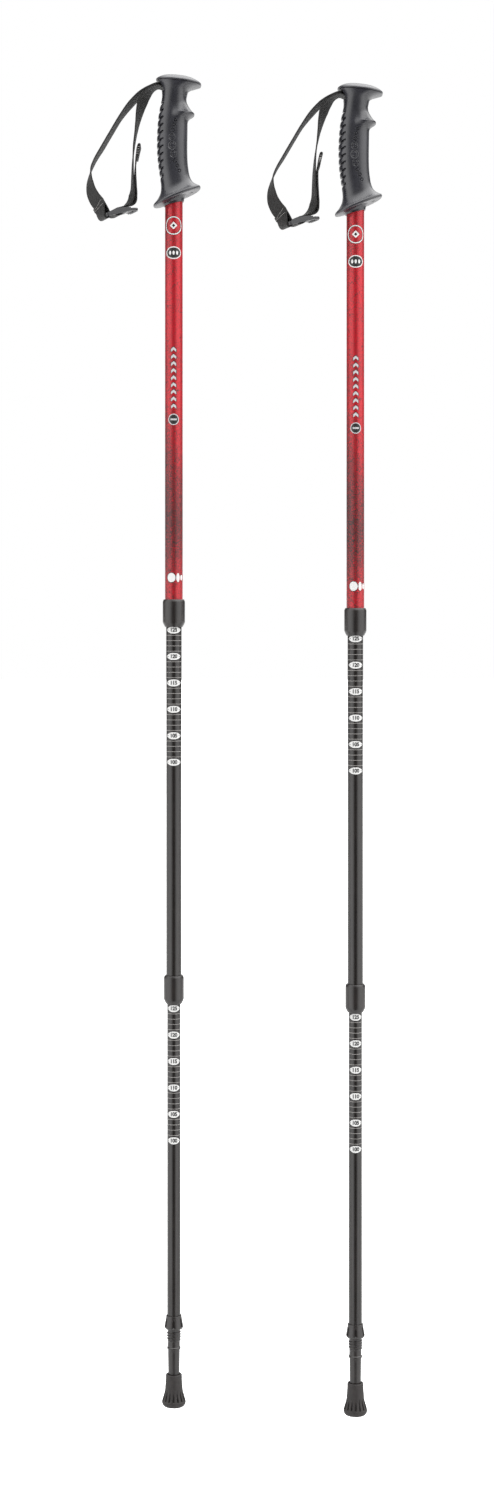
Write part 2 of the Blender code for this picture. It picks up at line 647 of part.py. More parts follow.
def make_ferrule(side, pole):
    """The moulded tip: a skirt round the shaft's end, the basket thread, and a taper down to the hard tip."""
    thread = []
    for turn in range(THREAD_TURNS):
        z = THREAD_START + turn * THREAD_PITCH
        root_z = z + (THREAD_PITCH + THREAD_FLAT) / 2
        thread += [(THREAD_CREST, z), (THREAD_CREST, z + THREAD_FLAT), (THREAD_ROOT, root_z)]
    outside = [(r * MM, z * MM) for r, z in reversed(FERRULE_TAPER + thread + FERRULE_SKIRT)]
    groove_r, groove_floor = LOWER_R + GAP, LOWER_ENDS[0] - GAP
    spigot_r = LOWER_R - LOWER_WALL - GAP
    profile = (
        [(0, SPIGOT_TOP), (spigot_r - 0.8 * MM, SPIGOT_TOP), (spigot_r, SPIGOT_TOP - 1 * MM)]
        + [(spigot_r, groove_floor), (groove_r, groove_floor), (groove_r, outside[0][1])]
        + outside
        + [(TIP_BORE_R, outside[-1][1]), (TIP_BORE_R, TIP_BORE_TOP), (0, TIP_BORE_TOP)]
    )
    turned(f"{side}_tip_ferrule", profile, MEDIUM, "collar_plastic", pole, closed=False)


def make_hard_tip(side, pole):
    """The steel tip pressed into the ferrule, with its hollow ground end."""
    r = TIP_BORE_R - GAP
    profile = [
        (0, TIP_BORE_TOP - GAP),
        (r, TIP_BORE_TOP - GAP),
        (r, 8.5 * MM),
        (1.9 * MM, 6.2 * MM),
        (1.7 * MM, 5.0 * MM),
        (0, 5.8 * MM),
    ]
    turned(f"{side}_hard_tip", profile, PLAIN, "steel", pole, closed=False)


def make_foot(side, pole):
    """The rubber foot that pulls off the tip: a bell with a flat sole."""
    outside = [(r * MM, z * MM) for r, z in reversed(FOOT_PROFILE)]
    rim = outside[0][1]
    inside = [
        (0, FOOT_POCKET_FLOOR),
        (FOOT_POCKET_R, FOOT_POCKET_FLOOR),
        (FOOT_POCKET_R, FOOT_FLOOR),
        (FOOT_BORE_R, FOOT_FLOOR),
        (FOOT_BORE_R, rim - 4 * MM),
        (FOOT_BORE_R + 0.4 * MM, rim),
    ]
    turned(f"{side}_rubber_foot", inside + outside + [(0, 0)], MEDIUM, "rubber", pole, closed=False)


def make_pole(side, x, drop):
    """One whole pole.  Its axis stands at this x, with its sole this far up."""
    pole = bpy.data.objects.new(f"{side}_pole", None)
    POLES.objects.link(pole)
    pole.location = (x, 0, drop)
    pivot = bpy.data.objects.new(f"{side}_strap_pivot", None)
    POLES.objects.link(pivot)
    pivot.parent = pole
    pivot.location = PIN

    make_grip(side, pole)
    make_top_cap(side, pole)
    make_strap_pin(side, pivot)
    make_strap(side, pivot)
    make_buckle(side, pivot)
    tube(f"{side}_upper_shaft", UPPER_R, UPPER_WALL, UPPER_ENDS, "red_anodised", pole)
    tube(f"{side}_middle_shaft", MIDDLE_R, MIDDLE_WALL, MIDDLE_ENDS, "black_anodised", pole)
    tube(f"{side}_lower_shaft", LOWER_R, LOWER_WALL, LOWER_ENDS, "black_anodised", pole)
    make_collar(f"{side}_upper_collar", UPPER_COLLAR, UPPER_R, UPPER_ENDS[0], MIDDLE_R, pole)
    make_collar(f"{side}_lower_collar", LOWER_COLLAR, MIDDLE_R, MIDDLE_ENDS[0], LOWER_R, pole)
    make_lock(side, "middle", MIDDLE_R, MIDDLE_WALL, MIDDLE_ENDS[1], UPPER_R - UPPER_WALL, pole)
    make_lock(side, "lower", LOWER_R, LOWER_WALL, LOWER_ENDS[1], MIDDLE_R - MIDDLE_WALL, pole)
    make_ferrule(side, pole)
    make_hard_tip(side, pole)
    make_foot(side, pole)


make_pole("left", LEFT_POLE_X, RIGHT_POLE_DROP)
make_pole("right", LEFT_POLE_X + POLE_SPACING, 0)
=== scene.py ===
import json
import math

import bmesh
import bpy
import numpy as np
from mathutils import Matrix, Vector

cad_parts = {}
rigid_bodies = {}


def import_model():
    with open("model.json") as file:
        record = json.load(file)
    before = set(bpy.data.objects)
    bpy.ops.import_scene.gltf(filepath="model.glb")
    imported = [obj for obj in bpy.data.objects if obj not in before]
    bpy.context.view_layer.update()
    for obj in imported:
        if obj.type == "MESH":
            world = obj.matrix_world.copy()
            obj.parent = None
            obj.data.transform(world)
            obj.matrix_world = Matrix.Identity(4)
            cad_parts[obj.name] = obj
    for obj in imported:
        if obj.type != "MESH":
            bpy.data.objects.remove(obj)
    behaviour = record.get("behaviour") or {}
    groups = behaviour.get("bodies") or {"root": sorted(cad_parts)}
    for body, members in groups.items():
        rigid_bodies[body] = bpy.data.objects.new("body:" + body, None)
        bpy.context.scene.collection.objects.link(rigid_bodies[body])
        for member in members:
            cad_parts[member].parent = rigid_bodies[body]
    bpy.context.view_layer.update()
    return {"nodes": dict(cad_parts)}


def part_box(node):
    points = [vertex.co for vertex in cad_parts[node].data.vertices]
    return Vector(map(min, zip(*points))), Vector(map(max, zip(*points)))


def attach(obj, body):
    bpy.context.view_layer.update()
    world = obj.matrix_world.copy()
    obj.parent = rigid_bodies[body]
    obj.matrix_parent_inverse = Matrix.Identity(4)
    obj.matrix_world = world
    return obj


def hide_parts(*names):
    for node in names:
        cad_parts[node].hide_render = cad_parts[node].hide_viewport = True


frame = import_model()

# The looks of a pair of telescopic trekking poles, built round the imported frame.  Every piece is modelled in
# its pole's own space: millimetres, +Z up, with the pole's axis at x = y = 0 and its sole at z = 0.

MM = 0.001
SIDES = ("left", "right")


def pole_origin(side):
    """Where a pole's axis meets the plane of its sole, from the frame."""
    low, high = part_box(f"{side}_lower_shaft")
    return Vector(((low.x + high.x) / 2, (low.y + high.y) / 2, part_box(f"{side}_rubber_foot")[0].z))


ORIGINS = {side: pole_origin(side) for side in SIDES}


def local_box(node):
    """The box of one of the left pole's nodes in that pole's space, in millimetres."""
    low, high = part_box(f"left_{node}")
    return (low - ORIGINS["left"]) / MM, (high - ORIGINS["left"]) / MM


# ---------------------------------------------------------------- mesh tools


def through(points, counts):
    """Points on a smooth curve through the given ones, with this many steps on each stretch."""
    p = np.array(points, float)
    gap = np.linalg.norm(np.diff(p, axis=0), axis=1)
    slope = np.gradient(p, np.concatenate([[0], np.cumsum(gap)]), axis=0)
    out = []
    for i, n in enumerate(counts):
        s = (np.arange(n) / n)[:, None]
        out.append(
            (2 * s**3 - 3 * s**2 + 1) * p[i]
            + (s**3 - 2 * s**2 + s) * gap[i] * slope[i]
            + (3 * s**2 - 2 * s**3) * p[i + 1]
            + (s**3 - s**2) * gap[i] * slope[i + 1]
        )
    return np.concatenate([*out, p[-1:]])


def smooth_run(points, step):
    """A smooth curve through the points, in steps of about this length."""
    gaps = np.linalg.norm(np.diff(np.array(points, float), axis=0), axis=1)
    return through(points, [max(1, round(g / step)) for g in gaps])


def rounded(corners, step=None):
    """An outline through the corners.  A corner's third number is its fillet; step breaks up long edges."""
    points = []
    for i, (x, y, *rest) in enumerate(corners):
        here, fillet = np.array((x, y), float), rest[0] if rest else 0
        if not fillet or i in (0, len(corners) - 1):
            points.append(here)
            continue
        a, b = np.array(corners[i - 1][:2], float) - here, np.array(corners[i + 1][:2], float) - here
        la, lb = np.linalg.norm(a), np.linalg.norm(b)
        a, b = a / la, b / lb
        half = math.acos(max(-1, min(1, float(a @ b)))) / 2
        reach = min(fillet / math.tan(half), 0.48 * la, 0.48 * lb)
        radius = reach * math.tan(half)
        centre = here + (a + b) / np.linalg.norm(a + b) * radius / math.sin(half)
        start, end = here + a * reach - centre, here + b * reach - centre
        turn = math.atan2(start[0] * end[1] - start[1] * end[0], start @ end)
        count = max(2, math.ceil(abs(turn) / math.radians(15)))
        for k in range(count + 1):
            c, s = math.cos(turn * k / count), math.sin(turn * k / count)
            points.append(centre + np.array((c * start[0] - s * start[1], s * start[0] + c * start[1])))
    if not step:
        return np.array(points)
    out = []
    for a, b in zip(points, points[1:]):
        n = max(1, round(np.linalg.norm(b - a) / step))
        out += [a + (b - a) * k / n for k in range(n)]
    return np.array([*out, points[-1]])


def mesh_of(shape, name):
    """A finished bmesh as a mesh."""
    mesh = bpy.data.meshes.new(name)
    shape.to_mesh(mesh)
    shape.free()
    return mesh


def shaded(mesh, angle=35):
    """The mesh shaded smooth except over sharp edges."""
    mesh.shade_smooth()
    mesh.set_sharp_from_angle(angle=math.radians(angle))
    return mesh


def tidy(mesh, angle=35):
    """The mesh welded, with its faces turned outwards, and shaded."""
    shape = bmesh.new()
    shape.from_mesh(mesh)
    bmesh.ops.remove_doubles(shape, verts=shape.verts, dist=1e-7)
    bmesh.ops.recalc_face_normals(shape, faces=shape.faces)
    shape.to_mesh(mesh)
    shape.free()
    return shaded(mesh, angle)


def skin(name, rows, caps=(True, True), loop=False, angle=35):
    """A mesh skinned over rows of points round a closed section, in millimetres."""
    rows = np.asarray(rows, float)
    count, around = rows.shape[:2]
    i, j = np.meshgrid(np.arange(count if loop else count - 1), np.arange(around), indexing="ij")
    below, above, k = i * around, (i + 1) % count * around, (j + 1) % around
    faces = np.stack([below + j, below + k, above + k, above + j], -1).reshape(-1, 4).tolist()
    if not loop and caps[0]:
        faces.append(list(range(around))[::-1])
    if not loop and caps[1]:
        faces.append(list(range((count - 1) * around, count * around)))
    mesh = bpy.data.meshes.new(name)
    mesh.from_pydata((rows.reshape(-1, 3) * MM).tolist(), [], faces)
    return tidy(mesh, angle)


def turned(name, profile, segments=96, shape=None, closed=True, angle=35):
    """A turned mesh.  The profile is (radius, height); shape(radius, height, angle) may change the radius."""
    profile = np.asarray(profile, float)
    theta = np.linspace(0, 2 * math.pi, segments, endpoint=False)
    r = np.repeat(profile[:, :1], segments, axis=1)
    z = np.repeat(profile[:, 1:], segments, axis=1)
    if shape:
        r = np.where(r > 0, shape(r, z, theta[None, :]), 0)
    rows = np.stack([r * np.sin(theta), -r * np.cos(theta), z], -1)
    return skin(name, rows, caps=(False, False), loop=closed, angle=angle)


def flat(loops):
    """A filled flat mesh in the x, y plane from closed outlines, whose inner ones are holes."""
    curve = bpy.data.curves.new("flat", "CURVE")
    curve.dimensions, curve.fill_mode = "2D", "FRONT"
    for loop in loops:
        spline = curve.splines.new("POLY")
        spline.points.add(len(loop) - 1)
        for point, (x, y) in zip(spline.points, loop):
            point.co = (x, y, 0, 1)
        spline.use_cyclic_u = True
    return filled(curve)


def filled(curve):
    """The mesh of a 2D curve or a text, welded."""
    holder = bpy.data.objects.new("holder", curve)
    bpy.context.scene.collection.objects.link(holder)
    bpy.context.view_layer.update()
    mesh = bpy.data.meshes.new_from_object(holder.evaluated_get(bpy.context.evaluated_depsgraph_get()))
    bpy.data.objects.remove(holder)
    shape = bmesh.new()
    shape.from_mesh(mesh)
    bmesh.ops.remove_doubles(shape, verts=shape.verts, dist=1e-5)
    bmesh.ops.triangulate(shape, faces=shape.faces)
    shape.to_mesh(mesh)
    shape.free()
    return mesh


def split_long(shape, longest):
    """Halves every edge longer than this until none is left."""
    for _ in range(12):
        long = [e for e in shape.edges if e.calc_length() > longest]
        if not long:
            break
        bmesh.ops.subdivide_edges(shape, edges=long, cuts=1, use_grid_fill=False)
        bmesh.ops.triangulate(shape, faces=shape.faces)


def raised(mesh, low, high, longest=None):
    """The flat mesh as a closed slab between two heights, with its edges no longer than this."""
    shape = bmesh.new()
    shape.from_mesh(mesh)
    if longest:
        split_long(shape, longest)
    for v in shape.verts:
        v.co.z = low
    made = bmesh.ops.extrude_face_region(shape, geom=list(shape.faces))["geom"]
    for v in made:
        if isinstance(v, bmesh.types.BMVert):
            v.co.z = high
    bmesh.ops.recalc_face_normals(shape, faces=shape.faces)
    return shape


PRINT_SUNK, PRINT_EDGE = 0.02, 0.9  # how deep a print starts in its tube, and its longest edge


def decal(mesh, radius, lift):
    """A thin print on a tube: the flat mesh, x round the tube and y up it, wrapped at this radius."""
    shape = raised(mesh, -PRINT_SUNK, lift, PRINT_EDGE)
    for v in shape.verts:
        turn, r = v.co.x / radius, radius + v.co.z
        v.co = Vector((r * math.sin(turn), -r * math.cos(turn), v.co.y)) * MM
    return tidy(mesh_of(shape, "decal"), angle=60)


def joined(name, meshes):
    """Several meshes as one."""
    shape = bmesh.new()
    for mesh in meshes:
        shape.from_mesh(mesh)
    return shaded(mesh_of(shape, name), 40)


def box_mesh(low, high):
    """A box between two corners, in millimetres."""
    shape = bmesh.new()
    bmesh.ops.create_cube(shape, size=1.0)
    bmesh.ops.scale(shape, vec=[(b - a) * MM for a, b in zip(low, high)], verts=shape.verts)
    bmesh.ops.translate(shape, vec=[(a + b) / 2 * MM for a, b in zip(low, high)], verts=shape.verts)
    return mesh_of(shape, "box")


def rod_mesh(radius, a, b, segments=48):
    """A cylinder between two points, in millimetres."""
    a, b = Vector(a), Vector(b)
    r = radius * MM
    shape = bmesh.new()
    length = (b - a).length * MM
    bmesh.ops.create_cone(shape, cap_ends=True, segments=segments, radius1=r, radius2=r, depth=length)
    turn = (b - a).to_track_quat("Z", "Y").to_matrix().to_4x4()
    bmesh.ops.transform(shape, matrix=Matrix.Translation((a + b) / 2 * MM) @ turn, verts=shape.verts)
    return mesh_of(shape, "rod")


def carved(mesh, tools, bevel=None, segments=2):
    """The mesh with each tool cut away, or joined on as ("UNION", tool), and its sharp edges rounded."""
    scene = bpy.context.scene.collection.objects
    body = bpy.data.objects.new("body", mesh)
    scene.link(body)
    helpers = []
    for tool in tools:
        how, shape = tool if isinstance(tool, tuple) else ("DIFFERENCE", tool)
        helper = bpy.data.objects.new("tool", shape)
        scene.link(helper)
        helpers.append(helper)
        modifier = body.modifiers.new("cut", "BOOLEAN")
        modifier.operation, modifier.object, modifier.solver = how, helper, "MANIFOLD"
    if bevel:
        rounding = body.modifiers.new("rounding", "BEVEL")
        rounding.width, rounding.segments, rounding.limit_method = bevel * MM, segments, "ANGLE"
        rounding.angle_limit = math.radians(40)
    bpy.context.view_layer.update()
    out = bpy.data.meshes.new_from_object(body.evaluated_get(bpy.context.evaluated_depsgraph_get()))
    for helper in [body, *helpers]:
        bpy.data.objects.remove(helper)
    return shaded(out)


# ---------------------------------------------------------------- material tools


class Nodes:
    """A node tree, with short calls that return a node's output."""

    def __init__(self, tree):
        self.tree = tree

    def add(self, kind, **settings):
        node = self.tree.nodes.new(kind)
        for key, value in settings.items():
            setattr(node, key, value)
        return node

    def feed(self, socket, value):
        if hasattr(value, "is_output"):
            self.tree.links.new(value, socket)
        else:
            socket.default_value = value

    def math(self, operation, *values, clamp=False):
        node = self.add("ShaderNodeMath", operation=operation, use_clamp=clamp)
        for socket, value in zip(node.inputs, values):
            self.feed(socket, value)
        return node.outputs[0]

    def past(self, value, edge, gain):
        """0 up to an edge, and then rising this steeply to 1."""
        return self.math("MULTIPLY", self.math("SUBTRACT", value, edge), gain, clamp=True)

    def split(self, vector):
        """The three parts of a vector."""
        node = self.add("ShaderNodeSeparateXYZ")
        self.feed(node.inputs[0], vector)
        return node.outputs

    def ramp(self, value, *stops):
        """A ramp of greys or colours, as (position, value)."""
        node = self.add("ShaderNodeValToRGB")
        self.feed(node.inputs[0], value)
        while len(node.color_ramp.elements) < len(stops):
            node.color_ramp.elements.new(1.0)
        for element, (position, colour) in zip(node.color_ramp.elements, stops):
            element.position = position
            element.color = (*colour, 1) if hasattr(colour, "__len__") else (colour, colour, colour, 1)
        return node.outputs[0]

    def mix(self, share, a, b, blend="MIX"):
        node = self.add("ShaderNodeMix", data_type="RGBA", blend_type=blend)
        self.feed(node.inputs["Factor"], share)
        for socket, value in ((node.inputs["A"], a), (node.inputs["B"], b)):
            self.feed(socket, value if hasattr(value, "is_output") else (*value, 1))
        return node.outputs["Result"]


class Surface(Nodes):
    """A new material, with the pole's own space as the place that its patterns are read from."""

    def __init__(self, name):
        self.material = bpy.data.materials.new(name)
        self.material.use_nodes = True
        super().__init__(self.material.node_tree)
        self.shader = self.tree.nodes["Principled BSDF"]
        self.place = self.add("ShaderNodeTexCoord").outputs["Object"]

    def mapped(self, scale, source=None):
        node = self.add("ShaderNodeMapping")
        self.feed(node.inputs["Vector"], source or self.place)
        node.inputs["Scale"].default_value = scale if hasattr(scale, "__len__") else (scale,) * 3
        return node.outputs[0]

    def noise(self, size, detail=3, source=None, rough=0.5, stretch=(1, 1, 1)):
        """Noise whose features are about this many millimetres across, stretched along each axis."""
        node = self.add("ShaderNodeTexNoise")
        self.feed(node.inputs["Vector"], self.mapped([1 / (size * MM * s) for s in stretch], source))
        node.inputs["Scale"].default_value = 1.0
        node.inputs["Detail"].default_value = detail
        node.inputs["Roughness"].default_value = rough
        return node.outputs["Fac"]

    def cells(self, size, feature="F1", source=None, stretch=(1, 1, 1)):
        """Distance in a Voronoi pattern whose cells are about this many millimetres across."""
        node = self.add("ShaderNodeTexVoronoi", feature=feature)
        self.feed(node.inputs["Vector"], self.mapped([1 / (size * MM * s) for s in stretch], source))
        node.inputs["Scale"].default_value = 1.0
        return node.outputs["Distance"]

    def bump(self, value, depth):
        """A bump of this depth in millimetres."""
        node = self.add("ShaderNodeBump")
        node.inputs["Distance"].default_value = depth * MM
        node.inputs["Strength"].default_value = 1.0
        self.feed(node.inputs["Height"], value)
        self.feed(self.shader.inputs["Normal"], node.outputs[0])

    def set(self, **inputs):
        for key, value in inputs.items():
            name = {"color": "Base Color", "coat": "Coat Weight", "coat_roughness": "Coat Roughness",
                    "sheen": "Sheen Weight", "specular": "Specular IOR Level"}.get(key, key.title())
            if name == "Base Color" and not hasattr(value, "is_output"):
                value = (*value, 1)
            self.feed(self.shader.inputs[name], value)
        return self.material


def moulded(name, colour, dark, roughness, grain=0.45, specular=0.5):
    """Moulded plastic: a fine spark-eroded grain, small shifts of colour and specks of tone."""
    n = Surface(name)
    fine, broad = n.noise(grain, detail=4, rough=0.65), n.noise(14, detail=2)
    n.bump(fine, 0.03)
    tone = n.mix(n.ramp(broad, (0.35, 0.0), (0.7, 1.0)), colour, dark)
    tone = n.mix(1.0, tone, n.ramp(fine, (0.3, 0.86), (0.7, 1.1)), "MULTIPLY")
    gloss = n.math("MULTIPLY_ADD", fine, 0.18, roughness - 0.09)
    return n.set(color=tone, roughness=gloss, specular=specular)


def rubber():
    """Matt black rubber with a dusty bloom and moulding texture."""
    n = Surface("rubber")
    fine, dust = n.noise(0.5, detail=5, rough=0.7), n.noise(4, detail=4, rough=0.6)
    n.bump(fine, 0.05)
    colour = n.mix(n.ramp(dust, (0.4, 0.0), (0.75, 1.0)), (0.013, 0.0108, 0.0103), (0.026, 0.0215, 0.0205))
    return n.set(color=colour, roughness=n.math("MULTIPLY_ADD", dust, 0.2, 0.5), specular=0.45)


def anodised(name, colour, bright):
    """Dyed aluminium tube: fine drawing lines along it and faint rub marks."""
    n = Surface(name)
    lines = n.noise(0.5, detail=4, stretch=(1, 1, 60))
    rub = n.noise(9, detail=5, rough=0.7, stretch=(1, 1, 3))
    n.bump(lines, 0.006)
    tone = n.mix(n.ramp(rub, (0.45, 0.0), (0.8, 1.0)), colour, bright)
    gloss = n.math("MULTIPLY_ADD", lines, 0.16, 0.18)
    return n.set(color=tone, roughness=gloss, metallic=0.1, specular=0.65)


# Where the red shaft's crackle lies thickest, how far it spreads up and down, and how much it adds there.
CRACKLE_MIDDLE, CRACKLE_SPREAD, CRACKLE_SHARE = 848, 62, 0.34


def red_lacquer():
    """Clear red lacquer over metal, printed with a black crackle that thickens towards the lower end."""
    n = Surface("red_lacquer")
    x, _, z = n.split(n.place)
    warp = n.add("ShaderNodeTexNoise")
    n.feed(warp.inputs["Vector"], n.mapped(1 / (6 * MM)))
    warp.inputs["Scale"].default_value = 1.0
    bent = n.add("ShaderNodeVectorMath", operation="MULTIPLY_ADD")
    n.feed(bent.inputs[0], warp.outputs["Color"])
    bent.inputs[1].default_value = (5 * MM,) * 3
    n.feed(bent.inputs[2], n.place)
    bent = bent.outputs[0]
    # How thick the print lies: most at mid height of its lower half, and more on the left than the right.
    away = n.math("SUBTRACT", n.math("MULTIPLY", z, 1 / MM), CRACKLE_MIDDLE)
    away = n.math("DIVIDE", away, CRACKLE_SPREAD)
    away = n.math("MULTIPLY", away, away)
    band = n.math("MULTIPLY", n.math("EXPONENT", n.math("MULTIPLY", away, -1)), CRACKLE_SHARE)
    left = n.math("MULTIPLY", n.math("DIVIDE", x, 8.4 * MM), -0.07)
    patches = n.math("MULTIPLY_ADD", n.noise(26, detail=3, stretch=(1, 1, 1.6)), 0.5, -0.25)
    cover = n.math("ADD", n.math("ADD", n.math("ADD", band, left), patches), 0.34)
    specks = n.noise(0.7, detail=5, rough=0.8, source=bent)
    print_edge = n.math("SUBTRACT", 0.66, n.math("MULTIPLY", cover, 0.34))
    speckle = n.past(specks, print_edge, 30)
    cracks = n.cells(11, feature="DISTANCE_TO_EDGE", source=bent, stretch=(1, 1, 0.75))
    thin = n.math("MULTIPLY_ADD", cover, 0.035, 0.006)
    broken = n.ramp(n.noise(5, detail=2), (0.38, 0.0), (0.5, 1.0))
    crack = n.math("MULTIPLY", n.past(thin, cracks, 70), broken)
    veins = n.cells(2.6, feature="DISTANCE_TO_EDGE", source=bent)
    vein = n.past(n.math("MULTIPLY", cover, 0.07), veins, 30)
    vein = n.math("MULTIPLY", vein, n.ramp(n.noise(3.5, detail=2), (0.42, 0.0), (0.52, 1.0)))
    black = n.math("MAXIMUM", n.math("MAXIMUM", speckle, crack), n.math("MULTIPLY", vein, 0.8))
    red = n.mix(n.noise(1.2, detail=3), (0.43, 0.0075, 0.015), (0.54, 0.017, 0.029))
    colour = n.mix(black, red, (0.03, 0.012, 0.012))
    n.bump(black, 0.012)
    metal = n.math("MULTIPLY_ADD", black, -0.3, 0.35)
    return n.set(color=colour, roughness=n.math("MULTIPLY_ADD", black, 0.2, 0.28), metallic=metal,
                 specular=0.4, coat=0.22, coat_roughness=0.12)


def plain_print(name, colour, roughness=0.45):
    """Screen-printed ink with a slightly uneven coat."""
    n = Surface(name)
    fine = n.noise(0.35, detail=4)
    n.bump(fine, 0.01)
    worn = tuple(c * 0.92 for c in colour)
    return n.set(color=n.mix(n.ramp(fine, (0.3, 0.0), (0.6, 1.0)), worn, colour), roughness=roughness)


def woven():
    """Black nylon webbing: warp ribs and picks, read from the strap's own length and width in millimetres."""
    n = Surface("woven_webbing")
    cloth = n.add("ShaderNodeAttribute", attribute_name="cloth").outputs["Vector"]
    along, across, _ = n.split(cloth)
    # Each warp rib is 0.8 mm wide.  Picks cross it every 0.9 mm, shifted by half a pick from rib to rib.
    rib = n.math("FLOOR", n.math("DIVIDE", across, 0.8))
    pick = n.math("FRACT", n.math("ADD", n.math("DIVIDE", along, 0.9), n.math("MULTIPLY", rib, 0.5)))
    swell = n.math("SINE", n.math("MULTIPLY", pick, math.pi))
    round_rib = n.math("SINE", n.math("MULTIPLY", n.math("FRACT", n.math("DIVIDE", across, 0.8)), math.pi))
    relief = n.math("MULTIPLY", swell, round_rib)
    fibres = n.noise(0.25, detail=4, source=cloth_space(n, cloth))
    height = n.math("ADD", relief, n.math("MULTIPLY", fibres, 0.3))
    n.bump(height, 0.1)
    faded = n.noise(30, detail=3)
    # The colour follows the weave's relief: painted shade darkens its hollows, and its crowns stay lighter.
    tone = n.mix(n.ramp(relief, (0.1, 0.0), (0.8, 1.0)), (0.0022, 0.0021, 0.002), (0.0105, 0.0099, 0.0094))
    tone = n.mix(n.math("MULTIPLY", faded, 0.25), tone, (0.016, 0.015, 0.014))
    return n.set(color=tone, roughness=0.62, sheen=0.05, specular=0.35)


def cloth_space(n, cloth):
    """The strap's own coordinates in metres, for noise."""
    node = n.add("ShaderNodeVectorMath", operation="SCALE")
    n.feed(node.inputs[0], cloth)
    node.inputs["Scale"].default_value = MM
    return node.outputs[0]


def steel():
    """Turned steel with fine tool marks."""
    n = Surface("turned_steel")
    marks = n.noise(0.3, detail=4, stretch=(8, 8, 1))
    n.bump(marks, 0.01)
    tone = n.mix(marks, (0.52, 0.51, 0.5), (0.66, 0.65, 0.64))
    return n.set(color=tone, roughness=n.math("MULTIPLY_ADD", marks, 0.2, 0.2), metallic=1.0)


MATERIALS = {
    "grip": moulded(
        "grip_plastic", (0.018, 0.018, 0.024), (0.012, 0.012, 0.016), 0.33, grain=0.55, specular=0.8
    ),
    "collar": moulded("collar_plastic", (0.016, 0.013, 0.012), (0.011, 0.009, 0.0086), 0.3, specular=0.6),
    "buckle": moulded("buckle_plastic", (0.027, 0.0275, 0.03), (0.019, 0.0195, 0.022), 0.32, specular=0.6),
    "nylon": moulded("lock_nylon", (0.62, 0.59, 0.52), (0.5, 0.47, 0.41), 0.45),
    "tube": anodised("black_anodised", (0.0105, 0.0088, 0.008), (0.019, 0.016, 0.0148)),
    "red": red_lacquer(),
    "white": plain_print("white_ink", (0.68, 0.68, 0.67)),
    "black": plain_print("black_ink", (0.012, 0.012, 0.012)),
    "grey": plain_print("grey_ink", (0.26, 0.25, 0.24)),
    "silver": plain_print("silver_ink", (0.5, 0.49, 0.5), 0.35),
    "thread": plain_print("sewing_thread", (0.3, 0.29, 0.28), 0.7),
    "strap": woven(),
    "steel": steel(),
    "rubber": rubber(),
}


def add(name, mesh, material, body, *nodes):
    """The same piece on both poles: riding on this body, and standing for these CAD nodes."""
    mesh.materials.clear()
    mesh.materials.append(MATERIALS[material])
    for side in SIDES:
        piece = bpy.data.objects.new(f"{side}_{name}_shown", mesh)
        bpy.context.scene.collection.objects.link(piece)
        piece.location = ORIGINS[side]
        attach(piece, f"{side}_{body}")
        if nodes:
            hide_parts(*[f"{side}_{node}" for node in nodes])


# ---------------------------------------------------------------- grip

# Rings up the grip: rear x, rear z, front x, front z, half width.
HUB = [
    (-9.5, 1136.6, 9.5, 1141.6, 9.5),
    (-10.1, 1137.4, 10.1, 1145.2, 10.1),
    (-11.6, 1137.4, 12.4, 1148.4, 11.8),
]
UNDERSIDE = [HUB[2], (-17.6, 1136.1, 23.6, 1152.8, 18.0)]
RIM = [UNDERSIDE[1], (-18.9, 1136.3, 24.9, 1153.9, 19.0), (-19.4, 1137.3, 25.3, 1155.0, 19.3),
       (-18.9, 1138.6, 24.7, 1156.3, 18.8)]
BODY = [
    RIM[3],
    (-17.2, 1140.6, 22.4, 1157.3, 17.4),
    (-15.0, 1143.8, 19.4, 1158.9, 15.9),
    (-12.9, 1148.4, 16.8, 1161.6, 14.4),
    (-12.1, 1154.0, 14.9, 1166.2, 13.6),
    (-12.6, 1161.0, 13.8, 1172.4, 13.3),
    (-14.1, 1171.0, 13.1, 1179.0, 13.3),
    (-15.4, 1182.0, 12.8, 1187.0, 13.5),
    (-15.9, 1194.0, 12.8, 1196.0, 13.6),
    (-15.8, 1204.0, 12.9, 1204.0, 13.5),
    (-15.4, 1212.0, 13.0, 1212.0, 13.4),
    (-14.7, 1220.0, 13.1, 1220.0, 13.1),
    (-13.5, 1228.0, 13.2, 1227.6, 12.8),
    (-12.2, 1234.5, 12.9, 1234.0, 12.6),
    (-11.2, 1240.6, 12.6, 1241.0, 13.2),
    (-11.4, 1245.4, 13.7, 1245.8, 15.2),
    (-12.6, 1249.5, 17.2, 1248.4, 17.2),
    (-14.6, 1252.8, 22.2, 1249.8, 18.2),
    (-16.4, 1255.3, 25.6, 1250.6, 18.6),
]
FINE_RINGS = range(4, 13)  # where ribs and dimples need close rows
ROUNDNESS = 2.55
GRIP_COLUMNS = 240
RIB_TOP, RIB_PITCH, RIB_COUNT = 1231.6, 6.9, 11
# Height and reach of the finger stop.  Above it the grip is scooped out.
BUMP = [(1215.5, 0), (1218, 0.5), (1220.3, 2.3), (1222.0, 4.9), (1223.2, 6.2), (1224.4, 6.3), (1225.8, 4.9),
        (1228.2, 2.9), (1231.4, 1.0), (1234.8, -0.4), (1238.5, -0.6), (1242, -0.1), (1244, 0)]
DIMPLE_COUNT, DIMPLE_MIDDLE, DIMPLE_GAP = 9, (-1.4, 1192.6), 1.2

# What is cut into the grip: the shaft's bore, the strap's notch, the pin's seat, the cap's socket and a hole.
CLEARANCE = 0.3
BORE_R = 8.7
NOTCH_REAR, NOTCH_FRONT, NOTCH_HALF, NOTCH_LOW = -30, -1.5, 10.9, 1245.5
SEAT_R, SEAT_WAY = 1.8, 1.7
STEM_X, STEM_R, STEM_LOW, STEM_HIGH = 8, 4, 1244, 1256
FLANGE_HOLE_X, FLANGE_HOLE_Z, FLANGE_HOLE_R, FLANGE_TILT = 16.8, 1143.2, 1.6, math.radians(22)
BELOW_GRIP, ABOVE_GRIP = 1120, 1270


